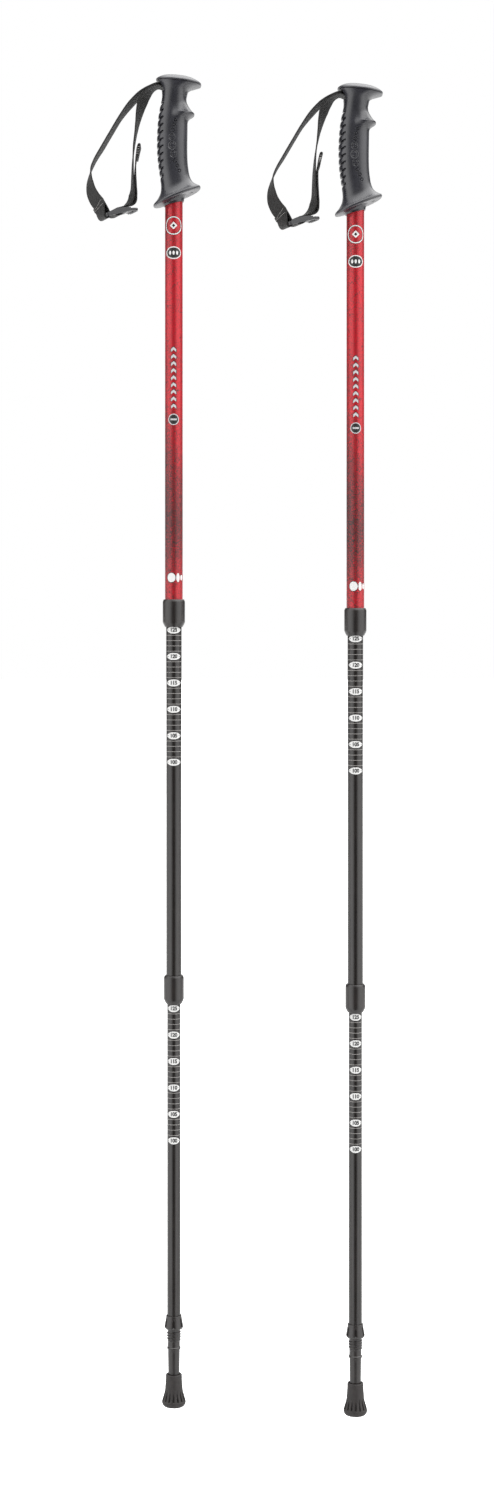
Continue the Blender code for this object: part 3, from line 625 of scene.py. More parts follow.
def oval(rings, fractions):
    """Points round each ring's rounded oval, at these shares of its length from the front."""
    dense = np.linspace(0, 2 * math.pi, 721)
    c, s = np.cos(dense), np.sin(dense)
    along = np.sign(c) * np.abs(c) ** (2 / ROUNDNESS)
    across = np.sign(s) * np.abs(s) ** (2 / ROUNDNESS)
    rows = []
    for rear_x, rear_z, front_x, front_z, half in rings:
        reach = (front_x - rear_x) / 2
        x, y = reach * along, half * across
        length = np.concatenate([[0], np.cumsum(np.hypot(np.diff(x), np.diff(y)))])
        at = np.array(fractions) * length[-1]
        x, y = np.interp(at, length, x), np.interp(at, length, y)
        z = (rear_z + front_z) / 2 + (front_z - rear_z) / 2 * x / max(reach, 1e-6)
        rows.append(np.stack([x + (rear_x + front_x) / 2, y, z], -1))
    return np.array(rows)


def column_shares():
    """Shares of the way round a ring, closest together at both sides, where the dimples are."""
    f = np.linspace(0, 1, 2001)
    density = 1 + 1.5 * np.exp(-(((f % 0.5) - 0.25) / 0.07) ** 2) + 1.1 * np.exp(-((f - 0.5) / 0.15) ** 2)
    grown = np.concatenate([[0], np.cumsum((density[1:] + density[:-1]) / 2)])
    return np.interp(np.arange(GRIP_COLUMNS) / GRIP_COLUMNS, grown / grown[-1], f)


def dimples():
    """Centre x, centre z and radius of each ring dimple: an arc, with the largest in the middle."""
    order = np.arange(DIMPLE_COUNT) - DIMPLE_COUNT // 2
    radii = 1.65 + 2.1 * np.exp(-((order / 1.6) ** 2))
    heights = [DIMPLE_MIDDLE[1]]
    for i in range(DIMPLE_COUNT // 2):
        m = DIMPLE_COUNT // 2
        heights.insert(0, heights[0] + radii[m - i] + radii[m - i - 1] + DIMPLE_GAP)
        heights.append(heights[-1] - radii[m + i] - radii[m + i + 1] - DIMPLE_GAP)
    return [(DIMPLE_MIDDLE[0] + 0.0087 * (z - 1197) ** 2, z, r) for z, r in zip(heights, radii)]


def step_between(value, low, high):
    """0 below low, 1 above high and smooth in between."""
    t = np.clip((value - low) / (high - low), 0, 1)
    return t * t * (3 - 2 * t)


def grip_relief(points, middles):
    """How far each point moves outwards: palm slots, ring dimples and the finger stop."""
    x, y, z = points[..., 0], points[..., 1], points[..., 2]
    rear = np.minimum(-9.3 - x, 7)
    reach = step_between(rear, 0, 1.8)
    phase = (RIB_TOP + 0.42 * (x + 16) - z) / RIB_PITCH
    nearest = np.clip(np.round(phase), 0, RIB_COUNT - 1)
    off = np.abs(phase - nearest) * RIB_PITCH
    groove = 1 - step_between(off, 0.6, 1.2)
    inside = step_between(z, 1158.5, 1161) * (1 - step_between(z, 1234.5, 1237))
    swell = np.cos((phase - np.round(phase)) * 2 * math.pi)
    move = -(1.9 * groove + 0.15 * swell * inside) * reach
    for cx, cz, r in dimples():
        d = np.hypot(x - cx, z - cz) / r
        ring = step_between(d, 0.5, 0.7) * (1 - step_between(d, 0.88, 1.1))
        move = move - 0.8 * ring * (np.abs(y) > 8)
    smooth = smooth_run(BUMP, 0.4)
    ahead = (x - middles) / np.maximum(np.hypot(x - middles, y), 1e-6)
    return move + np.interp(z, smooth[:, 0], smooth[:, 1]) * step_between(ahead, -0.15, 0.95)


def grip_mesh():
    """The handle: hub, flange, ribbed and dimpled body, finger stop and head."""
    rings = [np.array(HUB[:1])]
    for run, step in ((HUB, 0.8), (UNDERSIDE, 0.9), (RIM, 0.35)):
        rings.append(smooth_run(run, step)[1:])
    counts = []
    for i, (a, b) in enumerate(zip(BODY, BODY[1:])):
        gap = (math.dist(a[:2], b[:2]) + math.dist(a[2:4], b[2:4])) / 2
        counts.append(max(2, round(gap / (0.3 if i in FINE_RINGS else 0.6))))
    rings.append(through(BODY, counts)[1:])
    rings = np.concatenate(rings)
    points = oval(rings, column_shares())
    middles = ((rings[:, 0] + rings[:, 2]) / 2)[:, None]
    move = grip_relief(points, middles)
    out = np.stack([points[..., 0] - middles, points[..., 1]], -1)
    out /= np.maximum(np.linalg.norm(out, axis=-1, keepdims=True), 1e-6)
    points[..., :2] += out * move[..., None]
    mesh = skin("grip_shown", points, angle=50)
    hole = Vector((FLANGE_HOLE_X, 0, FLANGE_HOLE_Z + math.tan(FLANGE_TILT) * FLANGE_HOLE_X))
    axis = Vector((-math.sin(FLANGE_TILT), 0, math.cos(FLANGE_TILT)))
    pin_low, pin_high = local_box("strap_pin")
    pin = (pin_low + pin_high) / 2
    seat = (pin_high.y - pin_low.y) / 2 + CLEARANCE
    tube_top = local_box("upper_shaft")[1].z
    return carved(mesh, [
        rod_mesh(BORE_R, (0, 0, BELOW_GRIP), (0, 0, tube_top + CLEARANCE), 96),
        box_mesh((NOTCH_REAR, -NOTCH_HALF, NOTCH_LOW), (NOTCH_FRONT, NOTCH_HALF, ABOVE_GRIP)),
        rod_mesh(SEAT_R, (pin.x, -seat, pin.z), (pin.x, seat, pin.z)),
        box_mesh((pin.x - SEAT_WAY, -seat + 0.1, pin.z), (pin.x + SEAT_WAY, seat - 0.1, ABOVE_GRIP)),
        rod_mesh(STEM_R + CLEARANCE, (STEM_X, 0, STEM_LOW - CLEARANCE), (STEM_X, 0, ABOVE_GRIP)),
        rod_mesh(FLANGE_HOLE_R, hole - axis * 8, hole + axis * 12, 32),
    ])


CAP_RIM = [(-15.9, 1255.65, 25.1, 1250.93, 18.2), (-16.7, 1256.1, 25.8, 1251.4, 18.8),
           (-16.9, 1256.8, 26.0, 1252.1, 19.0), (-16.6, 1257.5, 25.7, 1252.9, 18.7)]
CAP_DOME = [CAP_RIM[3], (-15.2, 1258.5, 24.2, 1254.2, 17.4), (-11.8, 1260.0, 20.3, 1256.6, 14.3),
            (-6.8, 1261.0, 14.6, 1258.9, 9.6), (-1.2, 1261.2, 8.3, 1260.4, 4.2),
            (3.4, 1260.95, 3.6, 1260.9, 0.1)]


def cap_mesh():
    """The domed cap with its stem."""
    rings = np.concatenate([smooth_run(CAP_RIM, 0.3), smooth_run(CAP_DOME, 0.7)[1:]])
    points = oval(rings, np.arange(160) / 160)
    stem = rod_mesh(STEM_R, (STEM_X, 0, STEM_LOW), (STEM_X, 0, STEM_HIGH))
    return carved(skin("cap_shown", points, angle=60), [("UNION", stem)])


# ---------------------------------------------------------------- strap and buckle

STRAP_WIDTH, STRAP_THICKNESS = 20.0, 1.3
LAYER_GAP, FOLD_LENGTH = 0.3, 13.0
STRAP_LAYER = STRAP_THICKNESS / 2 + LAYER_GAP
PIN = Vector((-6.6, 0, 1250.6))
PIN_R = 1.5
BUCKLE_CENTRE = Vector((-53.2, 0.2, 1130.9))
BUCKLE_YAW, BUCKLE_PITCH = math.radians(20), math.radians(16)
BUCKLE_END, SEWN_BAR, GRIP_BAR, END_BAR, TAB_END = -15.5, (-15.5, -12.5), (-4, 0), (5, 9), 19
BAR_HALF_HEIGHT, RAIL_HALF_HEIGHT, RAIL_IN, RAIL_OUT = 1.1, 1.7, 10.8, 13.2
ARCH_RISE = 1.7
WRAP_STEPS, WRAP_ROOM = 8, 0.25
HEM_LAP = 0.35  # how far the hem's inner layer runs on, as a share of the way to the next point
THROAT_UP, THROAT_HALF = 6.5, 1.7  # where the two layers meet above the sewn bar
STITCH_PITCH, STITCH_RADIUS, STITCH_RISE, STITCH_SUNK = 2.1, 0.22, 0.16, 0.1
HEM_ROW, HEM_ROW_HALF = 1.6, 8.6
TACK_COUNT, TACK_FIRST, TACK_PITCH, TACK_START, TACK_LENGTH = 4, 0.6, 2.2, -0.7, 2.85

# The webbing outside the buckle: place, then the direction of its width.
OUTER_RUN = [
    ((-70.3, -4.3, 1137.0), (-0.56, 0.80, -0.22)),
    ((-75.3, -1.6, 1144.6), (-0.52, 0.83, -0.18)),
    ((-78.4, -0.2, 1151.3), (-0.46, 0.87, -0.10)),
    ((-79.6, 0.5, 1158.6), (-0.36, 0.93, -0.02)),
    ((-79.5, 0.3, 1165.6), (-0.18, 0.98, 0.02)),
    ((-78.3, 0.0, 1172.5), (-0.03, 1.0, 0.0)),
    ((-75.6, 0.0, 1179.0), (0.0, 1.0, 0.0)),
    ((-67.4, 0.0, 1193.0), (0.05, 1.0, 0.0)),
    ((-58.6, 0.0, 1208.0), (0.05, 1.0, 0.0)),
    ((-50.2, 0.0, 1221.8), (0.04, 1.0, -0.03)),
    ((-41.2, 0.0, 1233.6), (0.10, 0.98, -0.08)),
    ((-31.5, 0.0, 1243.4), (0.10, 0.99, -0.08)),
    ((-22.5, 0.0, 1249.8), (0.0, 1.0, 0.0)),
    ((-15.5, 0.0, 1252.5), (0.0, 1.0, 0.0)),
]
INNER_RUN = [
    ((-15.5, 0.0, 1250.6), (0.0, 1.0, 0.0)),
    ((-20.4, 0.0, 1248.5), (0.10, 1.0, -0.06)),
    ((-25.4, 0.0, 1243.6), (0.28, 0.95, -0.12)),
    ((-29.6, 0.0, 1236.4), (0.38, 0.92, -0.10)),
    ((-32.4, 0.0, 1227.0), (0.26, 0.96, -0.04)),
    ((-34.5, 0.0, 1216.5), (0.11, 0.99, 0.0)),
    ((-36.2, 0.0, 1206.0), (0.02, 1.0, 0.0)),
    ((-38.0, 0.0, 1193.0), (-0.02, 1.0, 0.0)),
    ((-38.9, 0.0, 1180.0), (-0.08, 1.0, 0.0)),
    ((-39.2, 0.0, 1166.0), (-0.12, 0.99, 0.0)),
    ((-39.2, 0.3, 1153.5), (-0.20, 0.98, 0.02)),
    ((-40.4, 0.8, 1145.8), (-0.34, 0.93, 0.06)),
]
TAIL_RUN = [
    ((-38.6, 2.0, 1141.4), (-0.36, 0.93, 0.02)),
    ((-37.0, 1.2, 1147.4), (-0.24, 0.97, 0.02)),
    ((-36.6, 0.5, 1155.5), (-0.14, 0.99, 0.0)),
    ((-36.7, 0.0, 1166.0), (-0.10, 0.99, 0.0)),
    ((-36.4, 0.0, 1176.0), (-0.06, 1.0, 0.0)),
    ((-35.3, 0.0, 1185.0), (-0.02, 1.0, 0.0)),
    ((-33.3, 0.0, 1194.2), (0.0, 1.0, 0.0)),
]


def buckle_axes():
    """The buckle's directions: along its rails, across them, and towards the hand."""
    level = Vector((math.cos(BUCKLE_YAW), math.sin(BUCKLE_YAW), 0))
    along = (level * math.cos(BUCKLE_PITCH) + Vector((0, 0, math.sin(BUCKLE_PITCH)))).normalized()
    across = Vector((0, 0, 1)).cross(along).normalized()
    return along, across, along.cross(across)


def hem_frame():
    """The hem: its middle, width, direction up the strap, and outward face."""
    along, across, inward = buckle_axes()
    bar = BUCKLE_CENTRE + along * (SEWN_BAR[0] + SEWN_BAR[1]) / 2
    towards = Vector(OUTER_RUN[0][0]) - bar
    towards = (towards - across * towards.dot(across)).normalized()
    side = across.cross(towards)
    if side.dot(inward + along) < 0:
        side = -side
    middle, width = Vector(OUTER_RUN[0][0]), Vector(OUTER_RUN[0][1]).normalized()
    face = width.cross((middle - bar).normalized()).normalized()
    if face.dot(side) < 0:
        face = -face
    return bar, towards, side, middle, width, face


def sewn_loop():
    """The sewn end: up from the hem, round the sewn bar and back along the strap."""
    across = buckle_axes()[1]
    bar, towards, side, middle, width, face = hem_frame()
    wrap_r = (SEWN_BAR[1] - SEWN_BAR[0]) / 2 + STRAP_LAYER + WRAP_ROOM
    half_pair = STRAP_THICKNESS / 2 + LAYER_GAP / 2
    beyond = middle + (Vector(OUTER_RUN[1][0]) - middle) * HEM_LAP
    mixed = (width + across).normalized()
    route = [(beyond - face * half_pair, width), (middle - face * half_pair, width)]
    route.append((bar + towards * THROAT_UP - side * THROAT_HALF, mixed))
    for i in range(WRAP_STEPS + 1):
        angle = math.pi * i / WRAP_STEPS
        route.append((bar + (side * -math.cos(angle) - towards * math.sin(angle)) * wrap_r, across))
    route.append((bar + towards * THROAT_UP + side * THROAT_HALF, mixed))
    route.append((middle + face * half_pair, width))
    return route


def pin_loop():
    """Over the strap pin and back under it."""
    y = Vector((0, 1, 0))
    turns = [math.pi * i / WRAP_STEPS for i in range(WRAP_STEPS + 1)]
    return [(PIN + Vector((math.sin(a), 0, math.cos(a))) * (PIN_R + STRAP_LAYER), y) for a in turns]


def ladder_weave():
    """Into the buckle on the hand's side, out past the grip bar, over it, and back in under the end bar."""
    along, across, inward = buckle_axes()
    over = BAR_HALF_HEIGHT + STRAP_LAYER
    tail = over + 0.1
    load = tail + STRAP_THICKNESS + LAYER_GAP
    corners = [
        (11, load + 1.8), (6, load + 0.3), (0, load), (-3, load - 0.1),
        (-5.2, load - 1.0), (-6.3, load - 2.8),
        (-6.3, -0.2), (-5.6, -over + 0.4), (-4, -over - 0.3), (-2, -over - 0.5), (0, -over - 0.3),
        (1.5, -over + 0.5), (2.3, -0.2), (2.9, tail - 0.8), (4.6, tail), (7, tail + 0.3), (10, tail + 1.4),
    ]
    return [(BUCKLE_CENTRE + along * u + inward * h, across) for u, h in corners]


def folded_end(tail):
    """The loose end's last stretch, folded back on the hand's side."""
    (before, width), (end, _) = tail[-2:]
    up = (end - before).normalized()
    aside = width.cross(up).normalized()
    half = (STRAP_THICKNESS + 0.15) / 2
    turns = [math.pi * i / 6 for i in range(1, 7)]
    loop = [end + aside * half * (1 - math.cos(a)) + up * half * math.sin(a) for a in turns]
    return [(p, width) for p in loop] + [(loop[-1] - up * FOLD_LENGTH * k / 3, width) for k in (1, 2, 3)]


def strap_route():
    """The whole webbing from its hem to its loose end, as (place, direction of its width)."""
    outer, inner, tail = (
        [(Vector(p), Vector(w).normalized()) for p, w in run] for run in (OUTER_RUN, INNER_RUN, TAIL_RUN)
    )
    return sewn_loop() + outer[1:] + pin_loop() + inner + ladder_weave() + tail + folded_end(tail)


def strap_section(count=52, ribs=25):
    """The webbing's cross-section: ribbed faces and soft rounded edges, as (across, through)."""
    half, thick = STRAP_WIDTH / 2, STRAP_THICKNESS / 2
    v = np.linspace(-half + 0.45, half - 0.45, count)
    crown = thick - 0.1 + 0.09 * np.abs(np.sin((v + half) / STRAP_WIDTH * ribs * math.pi))
    edge = [(half - 0.12, thick * 0.62), (half, 0), (half - 0.12, -thick * 0.62)]
    top = list(zip(v, crown))
    return np.array(top + edge + [(x, -h) for x, h in reversed(top)] + [(-a, -b) for a, b in edge])


def sweep(name, route, section, step, least=3):
    """A band swept along a route of (place, width), with its own length and width kept as 'cloth'."""
    places = np.array([tuple(p) for p, w in route])
    widths = np.array([tuple(w) for p, w in route])
    counts = [max(least, round(g / step)) for g in np.linalg.norm(np.diff(places, axis=0), axis=1)]
    line = through(places, counts)
    share = np.concatenate([i + np.arange(n) / n for i, n in enumerate(counts)] + [[len(counts)]])
    wide = np.stack([np.interp(share, np.arange(len(widths)), widths[:, k]) for k in range(3)], -1)
    for _ in range(4):
        wide[1:-1] = (wide[:-2] + 2 * wide[1:-1] + wide[2:]) / 4
    heading = np.gradient(line, axis=0)
    heading /= np.linalg.norm(heading, axis=1, keepdims=True)
    wide -= heading * (wide * heading).sum(1, keepdims=True)
    wide /= np.linalg.norm(wide, axis=1, keepdims=True)
    face = np.cross(heading, wide)
    rows = line[:, None] + wide[:, None] * section[None, :, :1] + face[:, None] * section[None, :, 1:]
    mesh = skin(name, rows, angle=70)
    length = np.concatenate([[0], np.cumsum(np.linalg.norm(np.diff(line, axis=0), axis=1))])
    if len(mesh.vertices) == rows.shape[0] * rows.shape[1]:
        cloth = np.zeros((rows.shape[0], rows.shape[1], 3), np.float32)
        cloth[..., 0], cloth[..., 1] = length[:, None], section[None, :, 0]
        mesh.attributes.new("cloth", "FLOAT_VECTOR", "POINT").data.foreach_set("vector", cloth.ravel())
    return mesh, line, wide, face


def stitches(lines):
    """Short raised stitches of thread along each line of (start, end, outward)."""
    ring = np.linspace(0, 2 * math.pi, 8, endpoint=False)
    section = np.stack([STITCH_RADIUS * np.cos(ring), STITCH_RADIUS * np.sin(ring)], -1)
    made = []
    for start, end, out in lines:
        count = max(1, round((end - start).length / STITCH_PITCH))
        for k in range(count):
            a = start + (end - start) * (k + 0.12) / count
            b = start + (end - start) * (k + 0.88) / count
            wide = (b - a).cross(out).normalized()
            places = (a - out * STITCH_SUNK, (a + b) / 2 + out * STITCH_RISE, b - out * STITCH_SUNK)
            made.append(sweep("stitch", [(place, wide) for place in places], section, 0.5)[0])
    return joined("stitches_shown", made)


def strap_stitching(line, wide, face):
    """Two rows across the hem on each face, and the tacks over the edges of the folded loose end."""
    bar, _, _, middle, _, out = hem_frame()
    up = (middle - bar).normalized()
    lines = []
    for sign in (1, -1):
        for along in (-HEM_ROW, HEM_ROW):
            target = middle + up * along + out * sign * (STRAP_THICKNESS + LAYER_GAP) / 2
            i = int(np.argmin(np.linalg.norm(line - np.array(target), axis=1)))
            away = Vector(face[i])
            away = away if away.dot(out * sign) > 0 else -away
            at, across = Vector(line[i]) + away * STRAP_THICKNESS / 2, Vector(wide[i])
            lines.append((at - across * HEM_ROW_HALF, at + across * HEM_ROW_HALF, away))
    before, tail = Vector(TAIL_RUN[-2][0]), Vector(TAIL_RUN[-1][0])
    up = (tail - before).normalized()
    for k in range(TACK_COUNT):
        at = before + up * (TACK_FIRST + TACK_PITCH * k)
        for edge in (-1, 1):
            near = at + Vector((TACK_START, edge * (STRAP_WIDTH / 2 - 0.1), 0))
            lines.append((near, near + Vector((TACK_LENGTH, 0, 0)), Vector((0, edge, 0))))
    return stitches(lines)


def plate(loops, low, high):
    """A flat plate of this outline between two heights, in millimetres."""
    shape = raised(flat(loops), low, high)
    bmesh.ops.scale(shape, vec=(MM, MM, MM), verts=shape.verts)
    return mesh_of(shape, "plate")


def round_box(x0, x1, half, radii):
    """A box outline with a radius for its low and its high end."""
    low, high = radii
    corners = [(x0, 0), (x0, -half, low), (x1, -half, high), (x1, half, high), (x0, half, low), (x0, 0)]
    return rounded(corners)[:-1]


def tab_mesh():
    """The buckle's thumb tab, which thickens away from the hand and ends in a round lip."""
    rows = []
    start = END_BAR[1] - 1.2
    ring = np.linspace(0, 2 * math.pi, 56, endpoint=False)
    c, s = np.cos(ring), np.sin(ring)
    for t in np.sin(np.linspace(0, math.pi / 2, 26)):
        half = (RAIL_OUT - 1) * max(0.06, 1 - max(0, (t - 0.45) / 0.55) ** 2.6) ** 0.5
        low = -1.1 - 2.1 * step_between(t, 0.05, 0.65) + 2.4 * step_between(t, 0.8, 1.06)
        high = 0.95 - 0.9 * step_between(t, 0.3, 1.0)
        across = half * np.sign(c) * np.abs(c) ** 0.35
        upright = (high + low) / 2 + (high - low) / 2 * np.sign(s) * np.abs(s) ** 0.6
        rows.append(np.stack([np.full_like(c, start + (TAB_END - start) * t), across, upright], -1))
    return skin("tab", rows)


def rail_arch(side):
    """The arched rib along one rail, on the hand's side."""
    start, end = BUCKLE_END + 1.5, END_BAR[1]
    u = np.linspace(start, end, 33)
    rise = ARCH_RISE * np.sin(math.pi * (u - start) / (end - start)) ** 0.8
    outline = [(start, 0), (end, 0), *zip(u[::-1], RAIL_HALF_HEIGHT - 0.02 + rise[::-1])]
    inner, outer = sorted((side * RAIL_IN, side * RAIL_OUT))
    mesh = plate([outline], inner, outer)
    mesh.transform(Matrix.Rotation(math.pi / 2, 4, "X"))
    return mesh


RIDGES, RIDGE_R, RIDGE_HALF = ((12.6, -2.9), (14.6, -3.2), (16.6, -2.9)), 0.55, 7.5


def buckle_mesh():
    """The ladder lock, in the pole's space."""
    body = plate(
        [round_box(BUCKLE_END, END_BAR[1] + 1, RAIL_OUT, (2.2, 1.2)),
         round_box(SEWN_BAR[1], GRIP_BAR[0], RAIL_IN, (0.6, 0.6)),
         round_box(GRIP_BAR[1], END_BAR[0], RAIL_IN, (0.6, 0.6))],
        -RAIL_HALF_HEIGHT, RAIL_HALF_HEIGHT,
    )
    ridges = [("UNION", rod_mesh(RIDGE_R, (x, -RIDGE_HALF, z), (x, RIDGE_HALF, z), 16)) for x, z in RIDGES]
    inner, far = RAIL_IN - 0.1, END_BAR[1] + 9
    mesh = carved(body, [
        box_mesh((BUCKLE_END - 9, -inner, BAR_HALF_HEIGHT), (far, inner, 9)),
        box_mesh((BUCKLE_END - 9, -inner, -9), (END_BAR[0] + 1, inner, -BAR_HALF_HEIGHT)),
        ("UNION", rail_arch(-1)), ("UNION", rail_arch(1)), ("UNION", tab_mesh()), *ridges,
    ], bevel=0.3, segments=3)
    along, across, inward = buckle_axes()
    turn = Matrix((along, across, inward)).transposed().to_4x4()
    mesh.transform(Matrix.Translation(BUCKLE_CENTRE * MM) @ turn)
    return mesh


# ---------------------------------------------------------------- shafts, collars and prints

UPPER_R, MIDDLE_R, LOWER_R = 8.4, 7.35, 6.4
UPPER_WALL, MIDDLE_WALL, LOWER_WALL = 0.8, 0.7, 0.7
UPPER_COLLAR_R, LOWER_COLLAR_R = 10.55, 9.6
SCALE_STEP, SCALE_TOP = 25.0, {"middle": 735.4, "lower": 377.3}
SCALE_LABELS = (125, 120, 115, 110, 105, 100)
OVAL_HALF_TURN, LINE_HALF_TURN = math.radians(62), math.radians(80)
OVAL_HALF_HEIGHT, FIGURE_SIZE = 3.3, 4.9

# Heights of the prints on the red shaft.
RING_Z, BADGE_Z, CHEVRON_TOP, DISC_Z, SPOT_Z = 1117.7, 1092, 1000.5, 934.5, 785
CHEVRON_COUNT, CHEVRON_PITCH = 9, 6.7
DIAMOND = 3.6


def shaft_mesh(name, radius, wall):
    """A drawn tube with lightly broken ends."""
    low, high = local_box(name)
    inner = radius - wall
    corners = [(inner, (low.z + high.z) / 2), (inner, high.z, 0.15), (radius, high.z, 0.25),
               (radius, low.z, 0.25), (inner, low.z, 0.15), (inner, (low.z + high.z) / 2)]
    return turned(f"{name}_shown", rounded(corners)[:-1], 128)


def collar_mesh(name, radius, outer_r, inner_r, ledge):
    """A collar: its bore over the outer tube, and the lip that guides the inner one."""
    low, high = local_box(name)
    bore, lip = outer_r + 0.3, inner_r + 0.25
    corners = [
        (bore, high.z - 4), (bore, high.z, 0.2), (radius - 0.9, high.z, 0.5), (radius, high.z - 2.2, 2.5),
        (radius, low.z + 4.6, 2.5), (radius - 0.5, low.z + 3.2, 1.5), (lip + 0.75, low.z, 0.5),
        (lip, low.z, 0.2), (lip, ledge), (bore, ledge), (bore, high.z - 4),
    ]
    return turned(f"{name}_shown", rounded(corners)[:-1], 128)


def ellipse(a, b, x=0, y=0, count=48):
    """A closed oval outline."""
    turn = np.linspace(0, 2 * math.pi, count, endpoint=False)
    return np.stack([x + a * np.cos(turn), y + b * np.sin(turn)], -1)


def lens(a, b, y=0, count=20):
    """A closed outline with pointed ends."""
    x = np.linspace(-a, a, count + 1)
    height = b * (1 - np.abs(x / a) ** 2.3)
    return [*zip(x, y - height), *zip(x[-2:0:-1], y + height[-2:0:-1])]


def strip(x0, x1, y, half):
    """A closed box outline across a height."""
    return [(x0, y - half), (x1, y - half), (x1, y + half), (x0, y + half)]


def number(text, size, y):
    """Bold printed figures, centred on this height, as a flat mesh."""
    curve = bpy.data.curves.new("number", "FONT")
    curve.body, curve.size, curve.offset = text, size, size * 0.045
    curve.align_x, curve.align_y, curve.resolution_u = "CENTER", "CENTER", 4
    curve.space_character = 0.95
    mesh = filled(curve)
    mesh.transform(Matrix.Translation((0, y, 0)))
    return mesh


def scale_prints(top, radius):
    """The length scale: a white oval with its number every 5 cm, and a line for each centimetre."""
    ovals, figures, lines = [], [], []
    reach, half = radius * OVAL_HALF_TURN, radius * LINE_HALF_TURN
    for i, label in enumerate(SCALE_LABELS):
        z = top - i * SCALE_STEP
        ovals.append(decal(flat([lens(reach, OVAL_HALF_HEIGHT, z)]), radius, 0.04))
        figures.append(decal(number(str(label), FIGURE_SIZE, z), radius, 0.08))
        for sign in (-1, 1):
            start, end = sorted((sign * FIGURE_SIZE, sign * (reach - 0.7)))
            figures.append(decal(flat([strip(start, end, z, 0.22)]), radius, 0.08))
        if i + 1 < len(SCALE_LABELS):
            for k in range(1, 5):
                lines.append(decal(flat([strip(-half, half, z - k * SCALE_STEP / 5, 0.24)]), radius, 0.03))
    kinds = (("ovals", "white", ovals), ("figures", "black", figures), ("lines", "grey", lines))
    return [(kind, ink, joined(f"{kind}_shown", made)) for kind, ink, made in kinds]


def upper_prints():
    """Generic prints on the red shaft: ring badge, oval badge, a row of chevrons, a disc and plain ovals."""
    made = {"white": [], "black": [], "silver": []}

    def put(ink, lift, *outlines):
        made[ink].append(decal(flat(outlines), UPPER_R, lift))

    def ring(ink, lift, outer, inner, z):
        put(ink, lift, ellipse(*outer, 0, z), ellipse(*inner, 0, z))

    ring("white", 0.05, (8.6, 8.6), (7.7, 7.7), RING_Z)
    for ink, lift, size in (("white", 0.05, DIAMOND), ("black", 0.07, DIAMOND * 0.45)):
        put(ink, lift, [(0, RING_Z - size), (size, RING_Z), (0, RING_Z + size), (-size, RING_Z)])
    ring("black", 0.03, (8.95, 8.95), (7.35, 7.35), RING_Z)
    ring("white", 0.05, (7.8, 5.9), (6.9, 5.0), BADGE_Z)
    put("black", 0.03, ellipse(7.0, 5.1, 0, BADGE_Z))
    for x in (-3.4, 0, 3.4):
        put("white", 0.06, ellipse(1.05, 1.9, x, BADGE_Z))
    for k in range(CHEVRON_COUNT):
        z = CHEVRON_TOP - k * CHEVRON_PITCH
        chevron = [(-2.4, z - 2.2), (0, z - 0.2), (2.4, z - 2.2),
                   (2.4, z + 0.4), (0, z + 2.4), (-2.4, z + 0.4)]
        put("silver", 0.06, chevron)
        put("black", 0.03, [(x * 1.22, z + (y - z) * 1.3) for x, y in chevron])
    ring("silver", 0.05, (5.3, 5.3), (4.5, 4.5), DISC_Z)
    put("black", 0.03, ellipse(4.6, 4.6, 0, DISC_Z))
    put("silver", 0.05, strip(-3.0, 3.0, DISC_Z, 0.8))
    for wide, tall, x in ((4.0, 4.4, -2.2), (1.8, 4.2, 4.4), (1.5, 2.7, 8.6)):
        put("white", 0.05, ellipse(wide, tall, x, SPOT_Z))
    put("black", 0.03, ellipse(4.5, 4.9, -2.2, SPOT_Z))
    return [(ink, joined(f"{ink}_prints_shown", prints)) for ink, prints in made.items()]


# ---------------------------------------------------------------- tip

THREAD_LOW, THREAD_PITCH = 62.0, 2.6
RECESSES = 6


def ferrule_mesh():
    """The moulded tip: recessed skirt, helical basket thread, ring and taper."""
    spigot = LOWER_R - LOWER_WALL - 0.3
    groove = local_box("lower_shaft")[0].z - 0.3
    upper = [(0, 100), (spigot - 0.8, 100), (spigot, 99), (spigot, groove), (LOWER_R + 0.3, groove),
             (LOWER_R + 0.3, 86, 0.2), (7.3, 86, 0.5), (7.45, 84.8)]
    skirt = [(7.45, 84.8), (7.6, 83.4, 1.0), (9.1, 75.0, 0.8), (8.1, 73.3, 0.5), (6.3, 72.4, 0.4),
             (6.0, 71.5)]
    thread = [(6.0, 71.5), (5.85, 61)]
    lower = [(5.85, 61), (5.85, 56.2, 0.3), (6.5, 55.6, 0.25), (6.5, 54.2, 0.25), (5.72, 53.7, 0.3),
             (5.42, 34), (5.2, 14, 0.4), (2.8, 14, 0.2), (2.8, 24), (0, 24)]
    parts = [rounded(upper, 4), rounded(skirt, 0.35), rounded(thread, 0.12), rounded(lower, 4)]
    profile = np.concatenate([part[:-1] for part in parts] + [parts[-1][-1:]])

    def shape(r, z, theta):
        turns = (z - THREAD_LOW) / THREAD_PITCH - theta / (2 * math.pi)
        crest = 0.5 + 0.5 * np.cos(2 * math.pi * turns)
        height = step_between(crest, 0.25, 0.85) * 0.72
        ends = step_between(z, THREAD_LOW - 0.6, THREAD_LOW + 0.6) * (1 - step_between(z, 70.4, 71.4))
        r = r + np.where((z > 61) & (z < 71.5), height * ends, 0)
        pitch = 2 * math.pi / RECESSES
        off = np.abs((theta + pitch / 2) % pitch - pitch / 2) * 8.2
        tall = step_between(z, 74.6, 75.4) * (1 - step_between(z, 83.2, 84))
        slot = (1 - step_between(off, 0.55, 0.85)) * tall
        return r - np.where(r > 7.2, slot * np.minimum(1.1, r - 6.95), 0)

    return turned("ferrule_shown", profile, 216, shape, closed=False, angle=62)


FLUTES = 16


